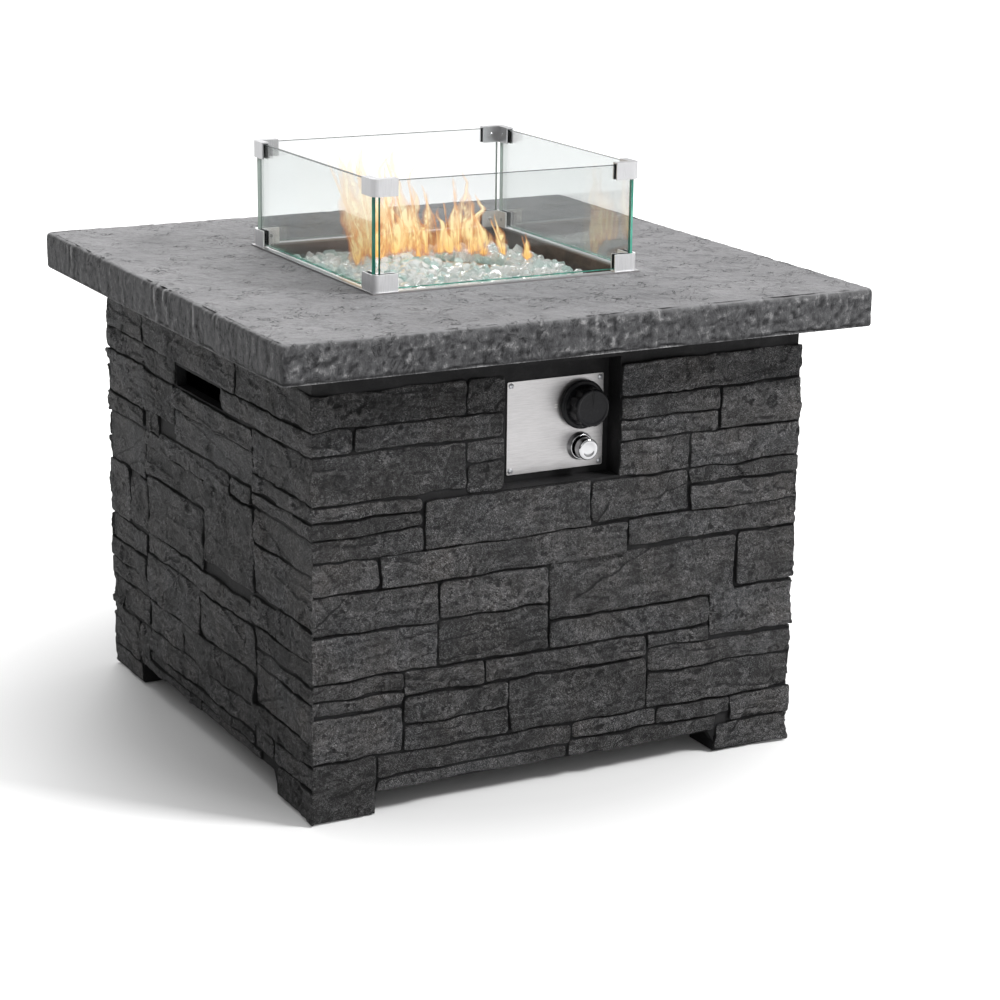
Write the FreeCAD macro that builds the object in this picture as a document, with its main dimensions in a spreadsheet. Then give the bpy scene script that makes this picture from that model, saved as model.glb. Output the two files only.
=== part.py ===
import FreeCAD, Part
import math
import os
import re

import Sketcher

# Square gas fire pit table: a cast ledge-stone base, a slate-look cast top, a burner pan
# with glass beads, a wind guard of four panes, a press-and-turn gas valve and a push igniter.
# Millimetres, +Z up, origin on the floor below the middle, control panel towards -Y.

V = FreeCAD.Vector

SIZES = (
    # Cast top
    ("top_side", 813),
    ("table_height", 615),
    ("top_edge", 49),
    ("top_plate", 22),
    ("lip_width", 28),
    ("collar_width", 14),
    ("top_corner", 9),
    ("top_round", 6),
    ("pan_opening", 364),
    ("pan_seat", 0.4),
    ("pan_seat_play", 0.5),
    # Cast base
    ("base_side", 692),
    ("stone_relief", 7),
    ("stone_top", 537),
    ("stone_bevel", 3),
    ("stone_lap", 0.6),
    ("wall", 14),
    ("flange_thick", 12),
    ("flange_width", 44),
    ("foot_thick", 58),
    ("foot_ledge", 45),
    ("arch_height", 31),
    ("front_arch_left", 258),
    ("front_arch_right", 231),
    ("side_arch_left", 235),
    ("side_arch_right", 226),
    ("arch_slope", 30),
    ("slot_length", 156),
    ("slot_height", 27),
    ("slot_level", 471.5),
    ("slot_shift", 12),
    # Foot pads
    ("pad_width", 32),
    ("pad_sunk", 4),
    ("foot_lift", 2),
    ("pad_inset", 36),
    # Fixing of the top
    ("bolt_width", 6),
    ("bolt_head_width", 12),
    ("bolt_head", 4),
    ("bolt_play", 0.6),
    ("bolt_reach", 14),
    ("insert_width", 10),
    ("insert_length", 15),
    # Recess and control panel
    ("recess_width", 161),
    ("recess_shift", -3.5),
    ("recess_bottom", 393),
    ("recess_top", 545),
    ("recess_depth", 35),
    ("recess_back", 8),
    ("window_rim", 9),
    ("window_reach", 60),
    ("panel_width", 135),
    ("panel_height", 117),
    ("panel_thick", 1.2),
    ("panel_shift", 1.5),
    ("panel_level", 460.5),
    ("panel_corner", 2),
    ("panel_screw_inset", 5),
    ("screw_width", 3.5),
    ("screw_play", 0.4),
    ("screw_head_radius", 3.4),
    ("screw_head", 1.8),
    ("screw_reach", 6),
    ("control_shift", 35),
    ("knob_rise", 22.5),
    ("igniter_drop", 31.5),
    # Knob, stem and valve
    ("knob_travel", 3),
    ("knob_gap", 2),
    ("skirt_radius", 31),
    ("skirt_thick", 4),
    ("cap_radius", 24.5),
    ("knob_height", 27),
    ("flutes", 8),
    ("flute_radius", 7),
    ("flute_bite", 1.6),
    ("flute_depth", 17),
    ("pointer_width", 1.8),
    ("pointer_start", 4),
    ("pointer_length", 17.5),
    ("pointer_depth", 0.7),
    ("stem_radius", 4),
    ("stem_flat", 2.5),
    ("stem_in_knob", 22),
    ("stem_in_valve", 22),
    ("running_gap", 0.06),
    ("stem_hole_radius", 5),
    ("valve_screw_spread", 12),
    ("valve_screw_head_width", 6),
    ("valve_screw_head", 1.5),
    ("valve_screw_reach", 8),
    ("valve_width", 34),
    ("valve_length", 46),
    ("magnet_radius", 11),
    ("magnet_length", 26),
    ("plunger_length", 15),
    ("port_depth", 28),
    # Gas inlet
    ("inlet_thread_radius", 7.9),
    ("inlet_thread", 16),
    ("inlet_hex", 22),
    ("inlet_hex_length", 9),
    ("inlet_bore", 4),
    # Igniter
    ("bezel_radius", 18),
    ("bezel_height", 7),
    ("bezel_tube_radius", 15),
    ("bezel_tube", 20),
    ("bezel_play", 0.3),
    ("igniter_bore", 13.8),
    ("button_radius", 13.7),
    ("button_proud", 24),
    ("button_sunk", 6),
    ("igniter_nut_width", 34),
    ("igniter_nut_length", 6),
    ("igniter_body_radius", 14.5),
    ("igniter_body_length", 42),
    # Burner pan, ring and its feed
    ("pan_flange_width", 8),
    ("pan_flange_side", "=pan_opening + 2 * pan_flange_width"),
    ("pan_flange", 2.4),
    ("pan_gap", 1),
    ("pan_sheet", 1.2),
    ("pan_depth", 60),
    ("ring_radius", 95),
    ("ring_tube", 9.5),
    ("ring_lift", 27),
    ("ring_ports", 12),
    ("ring_port_width", 2.5),
    ("ring_port_depth", 3),
    ("feed_width", 13),
    ("hub_radius", 15),
    ("hub_height", 37),
    ("stub_radius", 9),
    ("stub_play", 0.2),
    ("stub_reach", 12),
    ("stub_bore", 6),
    ("locknut_width", 30),
    ("locknut_length", 6),
    ("mixer_width", 24),
    ("mixer_length", 22),
    ("vent_width", 8),
    ("vent_rim", 4),
    ("vent_height", 10),
    ("jet_width", 22),
    ("jet_length", 18),
    ("jet_tip_radius", 4),
    ("jet_tip_length", 4),
    ("elbow_width", 16),
    ("elbow_arm_width", 13),
    ("elbow_arm", 5),
    ("pipe_radius", 4),
    ("pipe_nut_width", 15),
    ("pipe_nut_length", 12),
    # Flame sensor and spark electrode
    ("sensor_offset", 118),
    ("sensor_spread", 14),
    ("sensor_edge", 8),
    ("sensor_sheet", 1.5),
    ("sensor_rise", 18),
    ("sensor_front", 6),
    ("sensor_rear", 12),
    ("thermocouple_radius", 2.8),
    ("electrode_radius", 3.5),
    ("electrode_tip", 2),
    ("probe_below", 10),
    ("probe_length", 26),
    # Heat shield
    ("shield_width", 300),
    ("shield_length", 320),
    ("shield_sheet", 1),
    ("shield_drop", 20),
    ("shield_flange", 12),
    ("shield_hole", 22),
    # Glass beads
    ("bead_gap", 0.3),
    ("bead_depth", 32),
    ("bead_crown", 11),
    ("bead_heap_foot", 120),
    ("bead_heap_top", 45),
    # Wind guard
    ("guard_setback", 6),
    ("guard_side", "=pan_opening + 2 * guard_setback"),
    ("guard_height", 140),
    ("glass_thick", 5),
    ("glass_corner_gap", 10),
    ("bracket_leg", 34),
    ("bracket_height", 22),
    ("bracket_sheet", 2),
    ("bracket_round", 9),
    ("gasket_thick", 0.8),
    ("gasket_inset", 0.5),
    # Rear door
    ("door_width", 344),
    ("door_height", 474),
    ("door_low", 50),
    ("door_gap", 3),
    ("door_margin", 22),
    ("hinge_sheet", 2),
    ("hinge_leaf", 17),
    ("hinge_length", 50),
    ("barrel_radius", 4.5),
    ("hinge_pin_radius", 2.5),
    ("knuckle_gap", 0.4),
    ("hinge_inset", 80),
    ("magnet_drop", 90),
    ("magnet_lap", 14),
    ("magnet_width", 36),
    ("magnet_depth", 12),
    ("magnet_height", 16),
    ("magnet_gap", 0.3),
    ("strike_sheet", 1.5),
    ("strike_inset", 4),
    ("strike_width", 20),
    ("pull_length", 90),
    ("pull_width", 18),
    ("pull_reach", 20),
    ("pull_lip", 8),
    ("pull_sheet", 2),
    ("pull_screw_spread", 30),
    ("pull_screw_head_width", 7),
    ("pull_screw_head", 3),
    # Bottle tray
    ("tray_side", 600),
    ("tray_sheet", 1.5),
    ("tray_edge", 12),
    ("tray_stop_offset", 160),
    ("tray_stop_sheet", 2),
    ("tray_stop_width", 60),
    ("tray_stop_height", 20),
    ("tray_vent", 70),
)

# Ledge stones as seen on each face: left, right, low and high, with left and right
# counted from the middle of the face, and low and high from the floor.
CONTROL_FACE = (
    (-346, -137, 492, 536), (-137, 84, 492, 536), (77, 346, 493, 536), (-346, -86, 461, 492),
    (-86, 84, 461, 492), (77, 221, 436, 493), (221, 346, 436, 493), (-346, -137, 400, 461),
    (-137, 84, 394, 461), (77, 180, 391, 436), (181, 346, 369, 436), (-346, -195, 361, 400),
    (-346, -195, 331, 361), (-193, 37, 332, 394), (38, 180, 335, 391), (181, 346, 335, 369),
    (-346, -253, 290, 331), (-252, 91, 290, 332), (92, 346, 298, 335), (-346, -174, 239, 290),
    (-346, -174, 181, 239), (-173, -20, 181, 289), (-19, 253, 218, 296), (254, 346, 226, 298),
    (-19, 215, 180, 217), (216, 346, 160, 225), (-346, -221, 137, 180), (-221, -111, 149, 180),
    (-110, 124, 149, 179), (125, 215, 159, 179), (126, 346, 126, 159), (-346, -222, 77, 137),
    (-221, -75, 77, 149), (-74, 124, 77, 148), (125, 346, 77, 126), (-346, -258, 3, 77),
    (-257, 14, 30, 77), (15, 250, 54, 77), (251, 346, 41, 77), (15, 229, 27, 54),
    (230, 346, 3, 41),
)
SIDE_FACE = (
    (-346, -206, 491, 536), (-205, 115, 490, 536), (116, 346, 490, 536), (-346, -206, 460, 490),
    (-205, 67, 457, 490), (68, 346, 460, 490), (-346, -206, 401, 459), (-205, -96, 402, 456),
    (-95, 165, 383, 456), (166, 346, 402, 459), (-346, -150, 374, 401), (166, 346, 359, 402),
    (-346, -206, 304, 373), (-205, -149, 352, 374), (-148, 165, 354, 383), (-205, 3, 313, 352),
    (4, 168, 246, 354), (169, 346, 315, 359), (-346, -267, 225, 304), (-266, -199, 231, 304),
    (-198, 3, 232, 313), (169, 346, 249, 315), (-346, -206, 190, 225), (-205, 156, 202, 231),
    (157, 231, 207, 246), (232, 346, 207, 249), (-346, -206, 134, 190), (-205, -15, 138, 202),
    (-14, 168, 140, 202), (169, 346, 156, 207), (-346, -203, 92, 134), (-202, -77, 93, 137),
    (-76, 167, 94, 139), (168, 346, 104, 156), (-346, -203, 30, 92), (-202, 161, 45, 93),
    (162, 346, 73, 104), (162, 346, 44, 73), (-346, -235, 3, 30), (-234, 184, 26, 45),
    (185, 346, 3, 44),
)
RING_FLATS = 36
ROUND_FLATS = 16
WIDEN = 1 / math.cos(math.pi / ROUND_FLATS)
FACE_HALF = 346
FACE_TOP = 536
PROUD_LEAST = 0.55
PROUD_STEP = 0.618
SLIVER = 400
SLACK = 20

doc = FreeCAD.newDocument("FirePitTable")
sheet = doc.addObject("Spreadsheet::Sheet", "Size")
for row, (alias, value) in enumerate(SIZES, start=1):
    sheet.set(f"A{row}", alias)
    sheet.set(f"B{row}", str(value))
    sheet.setAlias(f"B{row}", alias)
doc.recompute()

nodes = []


def linked(text):
    """Turn a formula of size names into an expression on the sheet."""
    return re.sub(r"\b([a-z][a-z_]+)\b(?!\()", r"Size.\1", str(text))


def number(text):
    """Value of a formula of size names, in millimetres."""
    return float(sheet.evalExpression(linked(text)))


def bind(thing, prop, text):
    thing.setExpression(prop, linked(text))


def place(thing, at=("0", "0", "0"), axis=V(0, 0, 1), angle=0.0):
    """Turn a thing about an axis through its origin and bind its position."""
    thing.Placement = FreeCAD.Placement(V(*[number(t) for t in at]), FreeCAD.Rotation(axis, angle))
    for letter, text in zip("xyz", at):
        bind(thing, f".Placement.Base.{letter}", text)
    return thing


def finish(thing, label):
    """Name a finished sub-part and put it on the list of those that are written."""
    thing.Label = label
    nodes.append(thing)
    return thing


def box(name, low, high):
    """Box between two corners given as formulas."""
    thing = doc.addObject("Part::Box", name)
    for prop, start, end in zip(("Length", "Width", "Height"), low, high):
        bind(thing, prop, f"({end}) - ({start})")
    return place(thing, low)


def rod(name, radius, length, at, axis=V(0, 0, 1), angle=0.0):
    """Cylinder from a point, along +Z turned about an axis."""
    thing = doc.addObject("Part::Cylinder", name)
    bind(thing, "Radius", radius)
    bind(thing, "Height", length)
    return place(thing, at, axis, angle)


def hexagon(name, across, length, at, axis=V(0, 0, 1), angle=0.0):
    """Hexagonal bar given by its width across flats."""
    thing = doc.addObject("Part::Prism", name)
    thing.Polygon = 6
    bind(thing, "Circumradius", f"({across}) / sqrt(3)")
    bind(thing, "Height", length)
    return place(thing, at, axis, angle)


def flat_rod(name, radius, length, at, axis=V(0, 0, 1), angle=0.0):
    """Rod or bore with sixteen flats for a hidden round piece, which keeps its mesh light."""
    thing = doc.addObject("Part::Prism", name)
    thing.Polygon = ROUND_FLATS
    bind(thing, "Circumradius", radius)
    bind(thing, "Height", length)
    return place(thing, at, axis, angle)


def join(name, parts):
    thing = doc.addObject("Part::MultiFuse", name)
    thing.Shapes = parts
    thing.Refine = True
    return thing


def cut(name, base, *tools):
    """Take the tools away from the base."""
    thing = doc.addObject("Part::Cut", name)
    thing.Base = base
    thing.Tool = tools[0] if len(tools) == 1 else join(name + "_tools", list(tools))
    return thing


def made(name, shape, label=None):
    """Feature whose shape is worked out from the sheet by the functions above it."""
    thing = doc.addObject("Part::Feature", name)
    thing.Shape = shape
    if label:
        finish(thing, label)
    return thing


def body(name):
    return doc.addObject("PartDesign::Body", name)


def sketch(owner, name, plane="XY_Plane", lift="0"):
    """Sketch on one of the body's own origin planes, lifted along its normal."""
    thing = owner.newObject("Sketcher::SketchObject", name)
    origin_plane = [item for item in owner.Origin.OriginFeatures if item.Role == plane][0]
    thing.AttachmentSupport = [(origin_plane, "")]
    thing.MapMode = "FlatFace"
    bind(thing, ".AttachmentOffset.Base.z", lift)
    return thing


def pin_point(thing, index, end, point):
    """Tie one end of a sketch edge to a point given as formulas."""
    for kind, text in zip(("DistanceX", "DistanceY"), point):
        rule = thing.addConstraint(Sketcher.Constraint(kind, -1, 1, index, end, number(text)))
        bind(thing, f"Constraints[{rule}]", text)


def outline(thing, points):
    """Closed outline of straight edges through points given as formulas."""
    corners = [V(number(x), number(y), 0) for x, y in points]
    count = len(corners)
    edges = [
        thing.addGeometry(Part.LineSegment(corners[i], corners[(i + 1) % count]))
        for i in range(count)
    ]
    for i in range(count):
        thing.addConstraint(Sketcher.Constraint("Coincident", edges[i], 2, edges[(i + 1) % count], 1))
        pin_point(thing, edges[i], 1, points[i])


def rectangle(thing, left, low, right, high):
    outline(thing, [(left, low), (right, low), (right, high), (left, high)])


def square(thing, half):
    rectangle(thing, f"-({half})", f"-({half})", half, half)


def hex_outline(thing, at, across):
    """Hexagonal outline round a point, given by its width across flats."""
    x, y = at
    wide = f"({across}) / sqrt(3)"
    high = f"({across}) / 2"
    points = [(f"{x} {sign} {wide}", y) for sign in "+-"]
    upper = [(f"{x} {sign} {wide} / 2", f"{y} + {high}") for sign in "+-"]
    lower = [(f"{x} {sign} {wide} / 2", f"{y} - {high}") for sign in "-+"]
    outline(thing, [points[0], upper[0], upper[1], points[1], lower[0], lower[1]])


def circle(thing, x, y, radius):
    index = thing.addGeometry(Part.Circle(V(number(x), number(y), 0), V(0, 0, 1), number(radius)))
    rule = thing.addConstraint(Sketcher.Constraint("Radius", index, number(radius)))
    bind(thing, f"Constraints[{rule}]", radius)
    pin_point(thing, index, 3, (x, y))


def pad(owner, profile, length, reverse=False):
    feature = owner.newObject("PartDesign::Pad", profile.Name + "_pad")
    feature.Profile = profile
    feature.Reversed = reverse
    bind(feature, "Length", length)
    return feature


def pocket(owner, profile, depth, reverse=False):
    """Cut a profile down to a depth, against the sketch's normal unless reversed."""
    feature = owner.newObject("PartDesign::Pocket", profile.Name + "_pocket")
    feature.Profile = profile
    feature.Reversed = reverse
    bind(feature, "Length", depth)
    return feature


def turned(name, points):
    """Body turned about its own Z axis from an outline of radius and height."""
    owner = body(name)
    profile = sketch(owner, name + "_profile", "XZ_Plane")
    outline(profile, points)
    feature = owner.newObject("PartDesign::Revolution", name + "_turn")
    feature.Profile = profile
    feature.ReferenceAxis = (profile, ["V_Axis"])
    feature.Angle = 360
    return owner


def round_edges(owner, feature, radius, wanted):
    """Fillet the edges of a feature that a test picks."""
    doc.recompute()
    names = [
        f"Edge{i}" for i, edge in enumerate(feature.Shape.Edges, start=1) if wanted(edge.BoundBox)
    ]
    fillet = owner.newObject("PartDesign::Fillet", feature.Name + "_round")
    fillet.Base = (feature, names)
    bind(fillet, "Radius", radius)
    return fillet


def upright(bounds):
    """True for an edge that runs along Z."""
    return bounds.ZLength > 1 and bounds.XLength < 0.01 and bounds.YLength < 0.01


def outward(at):
    """Placement that turns a body's own Z axis out of the control panel."""
    return {"at": at, "axis": V(1, 0, 0), "angle": 90}


# Levels and planes that several sub-parts share, as formulas of the sizes.
SLAB_LOW = "table_height - top_edge"
BASE_TOP = "table_height - top_plate"
CORE = "base_side / 2 - stone_relief"
CAVITY = f"{CORE} - wall"
FLANGE_LOW = f"{BASE_TOP} - flange_thick"
THROAT = f"{CAVITY} - flange_width"
LOWER_THROAT = f"{CORE} - foot_thick"
PANEL_FACE = "recess_depth - base_side / 2"
CONTROL_X = "panel_shift + control_shift"
KNOB_Z = "panel_level + knob_rise"
IGNITER_Z = "panel_level - igniter_drop"
PORT_Y = f"{PANEL_FACE} + port_depth"
PAN_SEAT = "table_height - pan_seat"
PAN_TOP = f"{PAN_SEAT} + pan_flange"
PAN_FLOOR = f"{PAN_TOP} - pan_depth"
PAN_UNDER = f"{PAN_FLOOR} - pan_sheet"
PAN_OUTER = "pan_opening / 2 - pan_gap"
PAN_INNER = f"{PAN_OUTER} - pan_sheet"
RING_Z = f"{PAN_FLOOR} + ring_lift"
MIXER_LOW = f"{PAN_UNDER} - locknut_length - mixer_length"
ELBOW_Z = f"{MIXER_LOW} - jet_length / 2"
BOLT_LINE = f"{CAVITY} - flange_width / 2"
FOOT_PAD = "base_side / 2 - pad_inset"
CORNERS = [(x, y) for x in ("-", "") for y in ("-", "")]
BOLT_SPOTS = [(f"{x}({BOLT_LINE})", f"{y}({BOLT_LINE})") for x, y in CORNERS]


# The cast top: a plate with a hanging lip all round, a collar round the pan and a shallow
# rebate that the flange of the pan lies in.
def build_table_top():
    owner = body("slab")
    slab = sketch(owner, "slab_outline", lift=SLAB_LOW)
    square(slab, "top_side / 2")
    slab_pad = pad(owner, slab, "top_edge")
    corner = round_edges(owner, slab_pad, "top_corner", upright)
    top = number("table_height")
    round_edges(owner, corner, "top_round", lambda b: b.ZMin > top - 1)
    hollow = sketch(owner, "underside", lift=SLAB_LOW)
    square(hollow, "top_side / 2 - lip_width")
    square(hollow, "pan_opening / 2 + collar_width")
    pocket(owner, hollow, "top_edge - top_plate", reverse=True)
    opening = sketch(owner, "pan_hole", lift=SLAB_LOW)
    square(opening, "pan_opening / 2")
    pocket(owner, opening, "top_edge", reverse=True)
    seat = sketch(owner, "pan_rebate", lift="table_height")
    square(seat, "pan_flange_side / 2 + pan_seat_play")
    pocket(owner, seat, "pan_seat")
    sockets = [
        hexagon(f"insert_socket_{i}", "insert_width", "insert_length", (x, y, BASE_TOP))
        for i, (x, y) in enumerate(BOLT_SPOTS)
    ]
    finish(cut("table_top", owner, *sockets), "table_top")


def copies(name, shape, spots):
    """One feature that holds a separate copy of a shape at each spot."""
    moved = []
    for spot in spots:
        copy = shape.copy()
        copy.translate(V(*[number(t) for t in spot]))
        moved.append(copy)
    return made(name, Part.makeCompound(moved), name)


def flat_bar(radius, length, start="0", flats=ROUND_FLATS):
    """Bar along +Z with flats all round and its corners at a radius."""
    reach = number(radius)
    turns = [2 * math.pi * (k % flats) / flats for k in range(flats + 1)]
    corners = [V(reach * math.cos(a), reach * math.sin(a), number(start)) for a in turns]
    return Part.Face(Part.makePolygon(corners)).extrude(V(0, 0, number(length)))


def hex_bar(across, length, start="0"):
    """Hexagonal bar along +Z; threaded shanks have this form too, which keeps their mesh light."""
    return flat_bar(f"({across}) / sqrt(3)", length, start, 6)


def build_top_fixing():
    sleeve = hex_bar("insert_width", "insert_length").cut(hex_bar("bolt_width", "insert_length"))
    copies("top_inserts", sleeve, [(x, y, BASE_TOP) for x, y in BOLT_SPOTS])
    shank = hex_bar("bolt_width", "flange_thick + bolt_reach")
    head = hex_bar("bolt_head_width", "bolt_head", "-bolt_head")
    copies("top_bolts", shank.fuse(head), [(x, y, FLANGE_LOW) for x, y in BOLT_SPOTS])


# The ledge stones are wedge-shaped blocks that stand proud of the cast wall by uneven amounts
# and meet in V-shaped joints. Their roots overlap a little, so that neighbours merge.
def stone_block(left, right, low, high, index):
    core = number(CORE)
    bevel = number("stone_bevel")
    lap = number("stone_lap")
    wide = number("base_side / 2") / FACE_HALF
    tall = (number("stone_top") - number("foot_lift")) / (FACE_TOP - 1)
    proud = number("stone_relief") * (PROUD_LEAST + (1 - PROUD_LEAST) * (index * PROUD_STEP % 1.0))
    at_left = left <= -FACE_HALF
    at_right = right >= FACE_HALF
    x0 = -core - proud if at_left else left * wide - lap
    x1 = core + proud if at_right else right * wide + lap
    z0 = low * tall - lap
    z1 = high * tall + lap
    front_left = x0 if at_left else x0 + bevel
    front_right = x1 if at_right else x1 - bevel
    return Part.makeWedge(
        -x1, core, z0, z0 + bevel, -front_right, -x0, core + proud, z1, z1 - bevel, -front_left
    )


def stone_face(stones, turn):
    """Stones of one face, drawn on the rear and turned round to where they belong."""
    blocks = [stone_block(*stone, index) for index, stone in enumerate(stones)]
    for block in blocks:
        block.rotate(V(0, 0, 0), V(0, 0, 1), turn + 180)
    return blocks


def clear_box(left, right, low, high, turn):
    """Block in front of a face that keeps stones out of an opening."""
    reach = number("base_side / 2") + SLACK
    wide = number(right) - number(left)
    tall = number(high) - number(low)
    block = Part.makeBox(wide, reach - number(CORE), tall, V(number(left), -reach, number(low)))
    block.rotate(V(0, 0, 0), V(0, 0, 1), turn)
    return block


def trimmed(blocks, tool, keep_inside=False):
    """Stones cut to an opening's edge, without the slivers that a cut leaves."""
    kept = []
    for block in blocks:
        rest = block.common(tool) if keep_inside else block.cut(tool)
        kept.extend(solid for solid in rest.Solids if solid.Volume > SLIVER)
    return kept


def arch_tool(name, left, right, turn):
    """Prism through the whole base under one pair of sides, with one sloping end."""
    height = number("arch_height")
    slope = number("arch_slope")
    start = -number(left)
    end = number(right)
    reach = number("base_side / 2") + SLACK
    points = ((start, -SLACK), (start, height), (end - slope, height), (end, height / 2), (end, -SLACK))
    wire = Part.makePolygon([V(x, -reach, z) for x, z in points + points[:1]])
    solid = Part.Face(wire).extrude(V(0, 2 * reach, 0))
    solid.rotate(V(0, 0, 0), V(0, 0, 1), turn)
    return made(name, solid)


def square_box(name, half, low, high):
    return box(name, (f"-({half})", f"-({half})", low), (half, half, high))


DOOR_HALF = "door_width / 2"
OPENING = f"{DOOR_HALF} + door_gap"
OPENING_LOW = "door_low - door_gap"
OPENING_HIGH = "door_low + door_height + door_gap"
RECESS_LEFT = "recess_shift - recess_width / 2"
RECESS_RIGHT = "recess_shift + recess_width / 2"
SLOT_NEAR = "slot_shift - slot_length / 2"
SLOT_FAR = "slot_shift + slot_length / 2"
SLOT_LOW = "slot_level - slot_height / 2"
SLOT_HIGH = "slot_level + slot_height / 2"
BEYOND = f"base_side / 2 + {SLACK}"
ALONG_Y = {"axis": V(1, 0, 0), "angle": -90}


def all_stones():
    """Stones of the four sides, kept clear of the recess, the hand slots and the door."""
    edge = f"{OPENING} + door_margin"
    low = f"{OPENING_LOW} - door_margin"
    high = f"{OPENING_HIGH} + door_margin"
    door = clear_box(f"-({edge})", edge, low, high, 180)
    stones = trimmed(
        stone_face(CONTROL_FACE, 0), clear_box(RECESS_LEFT, RECESS_RIGHT, "recess_bottom", "recess_top", 0)
    )
    left_slot = clear_box(f"-({SLOT_FAR})", f"-({SLOT_NEAR})", SLOT_LOW, SLOT_HIGH, -90)
    stones += trimmed(stone_face(SIDE_FACE, -90), left_slot)
    stones += trimmed(stone_face(SIDE_FACE, 90), clear_box(SLOT_NEAR, SLOT_FAR, SLOT_LOW, SLOT_HIGH, 90))
    stones += trimmed(stone_face(CONTROL_FACE, 180), door)
    return stones


def build_base_shell():
    outer = square_box("base_block", CORE, "foot_lift", BASE_TOP)
    cavity = square_box("base_cavity", CAVITY, "foot_ledge", FLANGE_LOW)
    throat = square_box("base_throat", THROAT, FLANGE_LOW, f"{BASE_TOP} + 1")
    lower = square_box("base_lower_throat", LOWER_THROAT, "0", "foot_ledge + 1")
    hollow = cut("base_hollow", outer, cavity, throat, lower)
    pocket_block = box(
        "recess_block",
        (f"{RECESS_LEFT} - wall", f"-({CORE})", "recess_bottom - wall"),
        (f"{RECESS_RIGHT} + wall", f"{PANEL_FACE} + panel_thick + recess_back", "recess_top + wall"),
    )
    doc.recompute()
    cast = made("cast_walls", hollow.Shape.fuse([pocket_block.Shape] + all_stones()))
    recess = box(
        "recess_hole",
        (RECESS_LEFT, f"-({BEYOND})", "recess_bottom"),
        (RECESS_RIGHT, f"{PANEL_FACE} + panel_thick", "recess_top"),
    )
    window = box(
        "recess_window",
        (
            "panel_shift - panel_width / 2 + window_rim",
            PANEL_FACE,
            "panel_level - panel_height / 2 + window_rim",
        ),
        (
            "panel_shift + panel_width / 2 - window_rim",
            f"{PANEL_FACE} + window_reach",
            "panel_level + panel_height / 2 - window_rim",
        ),
    )
    slots = box("hand_slots", (f"-({BEYOND})", SLOT_NEAR, SLOT_LOW), (BEYOND, SLOT_FAR, SLOT_HIGH))
    doorway = box(
        "doorway", (f"-({OPENING})", f"{CAVITY} - 1", OPENING_LOW), (OPENING, BEYOND, OPENING_HIGH)
    )
    tools = [recess, window, slots, doorway]
    tools.append(arch_tool("arch_front", "front_arch_left", "front_arch_right", 0))
    tools.append(arch_tool("arch_sides", "side_arch_left", "side_arch_right", -90))
    for i, (x, y) in enumerate(BOLT_SPOTS):
        at = (x, y, f"{FLANGE_LOW} - 1")
        tools.append(hexagon(f"bolt_hole_{i}", "bolt_width + bolt_play", "flange_thick + 2", at))
    for i, (sx, sy) in enumerate(CORNERS):
        x, y = f"{sx}({FOOT_PAD})", f"{sy}({FOOT_PAD})"
        low = (f"{x} - pad_width / 2", f"{y} - pad_width / 2", "0")
        high = (f"{x} + pad_width / 2", f"{y} + pad_width / 2", "foot_lift + pad_sunk")
        tools.append(box(f"pad_hole_{i}", low, high))
    for i, at in enumerate(panel_screw_spots()):
        tools.append(hexagon(f"panel_hole_{i}", "screw_width", "panel_thick + screw_reach", at, **ALONG_Y))
    finish(cut("base_shell", cast, *tools), "base_shell")


def panel_screw_spots():
    """Centres of the panel's screws on the panel's front face."""
    across = "(panel_width / 2 - panel_screw_inset)"
    up = "(panel_height / 2 - panel_screw_inset)"
    return [
        (f"panel_shift {sx or '+'} {across}", PANEL_FACE, f"panel_level {sy or '+'} {up}")
        for sx, sy in CORNERS
    ]


def build_foot_pads():
    half = number("pad_width / 2")
    pad_shape = Part.makeBox(2 * half, 2 * half, number("foot_lift + pad_sunk"), V(-half, -half, 0))
    copies("foot_pads", pad_shape, [(f"{sx}({FOOT_PAD})", f"{sy}({FOOT_PAD})", "0") for sx, sy in CORNERS])


# The control panel is a flat plate in the recess, held by four round-headed screws.
def build_control_panel():
    owner = body("control_panel")
    place(owner, **outward(("panel_shift", f"{PANEL_FACE} + panel_thick", "panel_level")))
    plate = sketch(owner, "panel_outline")
    rectangle(plate, "-panel_width / 2", "-panel_height / 2", "panel_width / 2", "panel_height / 2")
    plate_pad = pad(owner, plate, "panel_thick")
    round_edges(owner, plate_pad, "panel_corner", lambda b: b.ZLength > 0.5 and b.XLength < 0.01)
    doc.recompute()
    holes = sketch(owner, "panel_holes")
    hex_outline(holes, ("control_shift", "knob_rise"), "2 * stem_hole_radius")
    circle(holes, "control_shift", "-igniter_drop", "bezel_tube_radius + bezel_play")
    spots = [(f"control_shift {sign} valve_screw_spread", "knob_rise") for sign in "-+"]
    for sx, sy in CORNERS:
        across = f"{sx}(panel_width / 2 - panel_screw_inset)"
        spots.append((across, f"{sy}(panel_height / 2 - panel_screw_inset)"))
    for at in spots:
        hex_outline(holes, at, "screw_width + screw_play")
    pocket(owner, holes, "panel_thick", reverse=True)
    finish(owner, "control_panel")


def screw_shape(reach):
    """Round-headed screw that points along -Z, with its head above the origin."""
    head = flat_bar("screw_head_radius", "screw_head")
    return hex_bar("screw_width", reach, f"-({reach})").fuse(head)


def build_panel_screws():
    screw = screw_shape("panel_thick + screw_reach")
    screw.rotate(V(0, 0, 0), V(1, 0, 0), 90)
    copies("panel_screws", screw, panel_screw_spots())


# The knob stands off the panel by its travel, so that it can be pressed before it turns.
SKIRT_LOW = "knob_travel + knob_gap"
SKIRT_TOP = f"{SKIRT_LOW} + skirt_thick"
KNOB_TOP = f"{SKIRT_LOW} + knob_height"
STEM_END = f"{SKIRT_LOW} + stem_in_knob"
KNOB_AT = (CONTROL_X, PANEL_FACE, KNOB_Z)
BACK = "-panel_thick"


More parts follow.
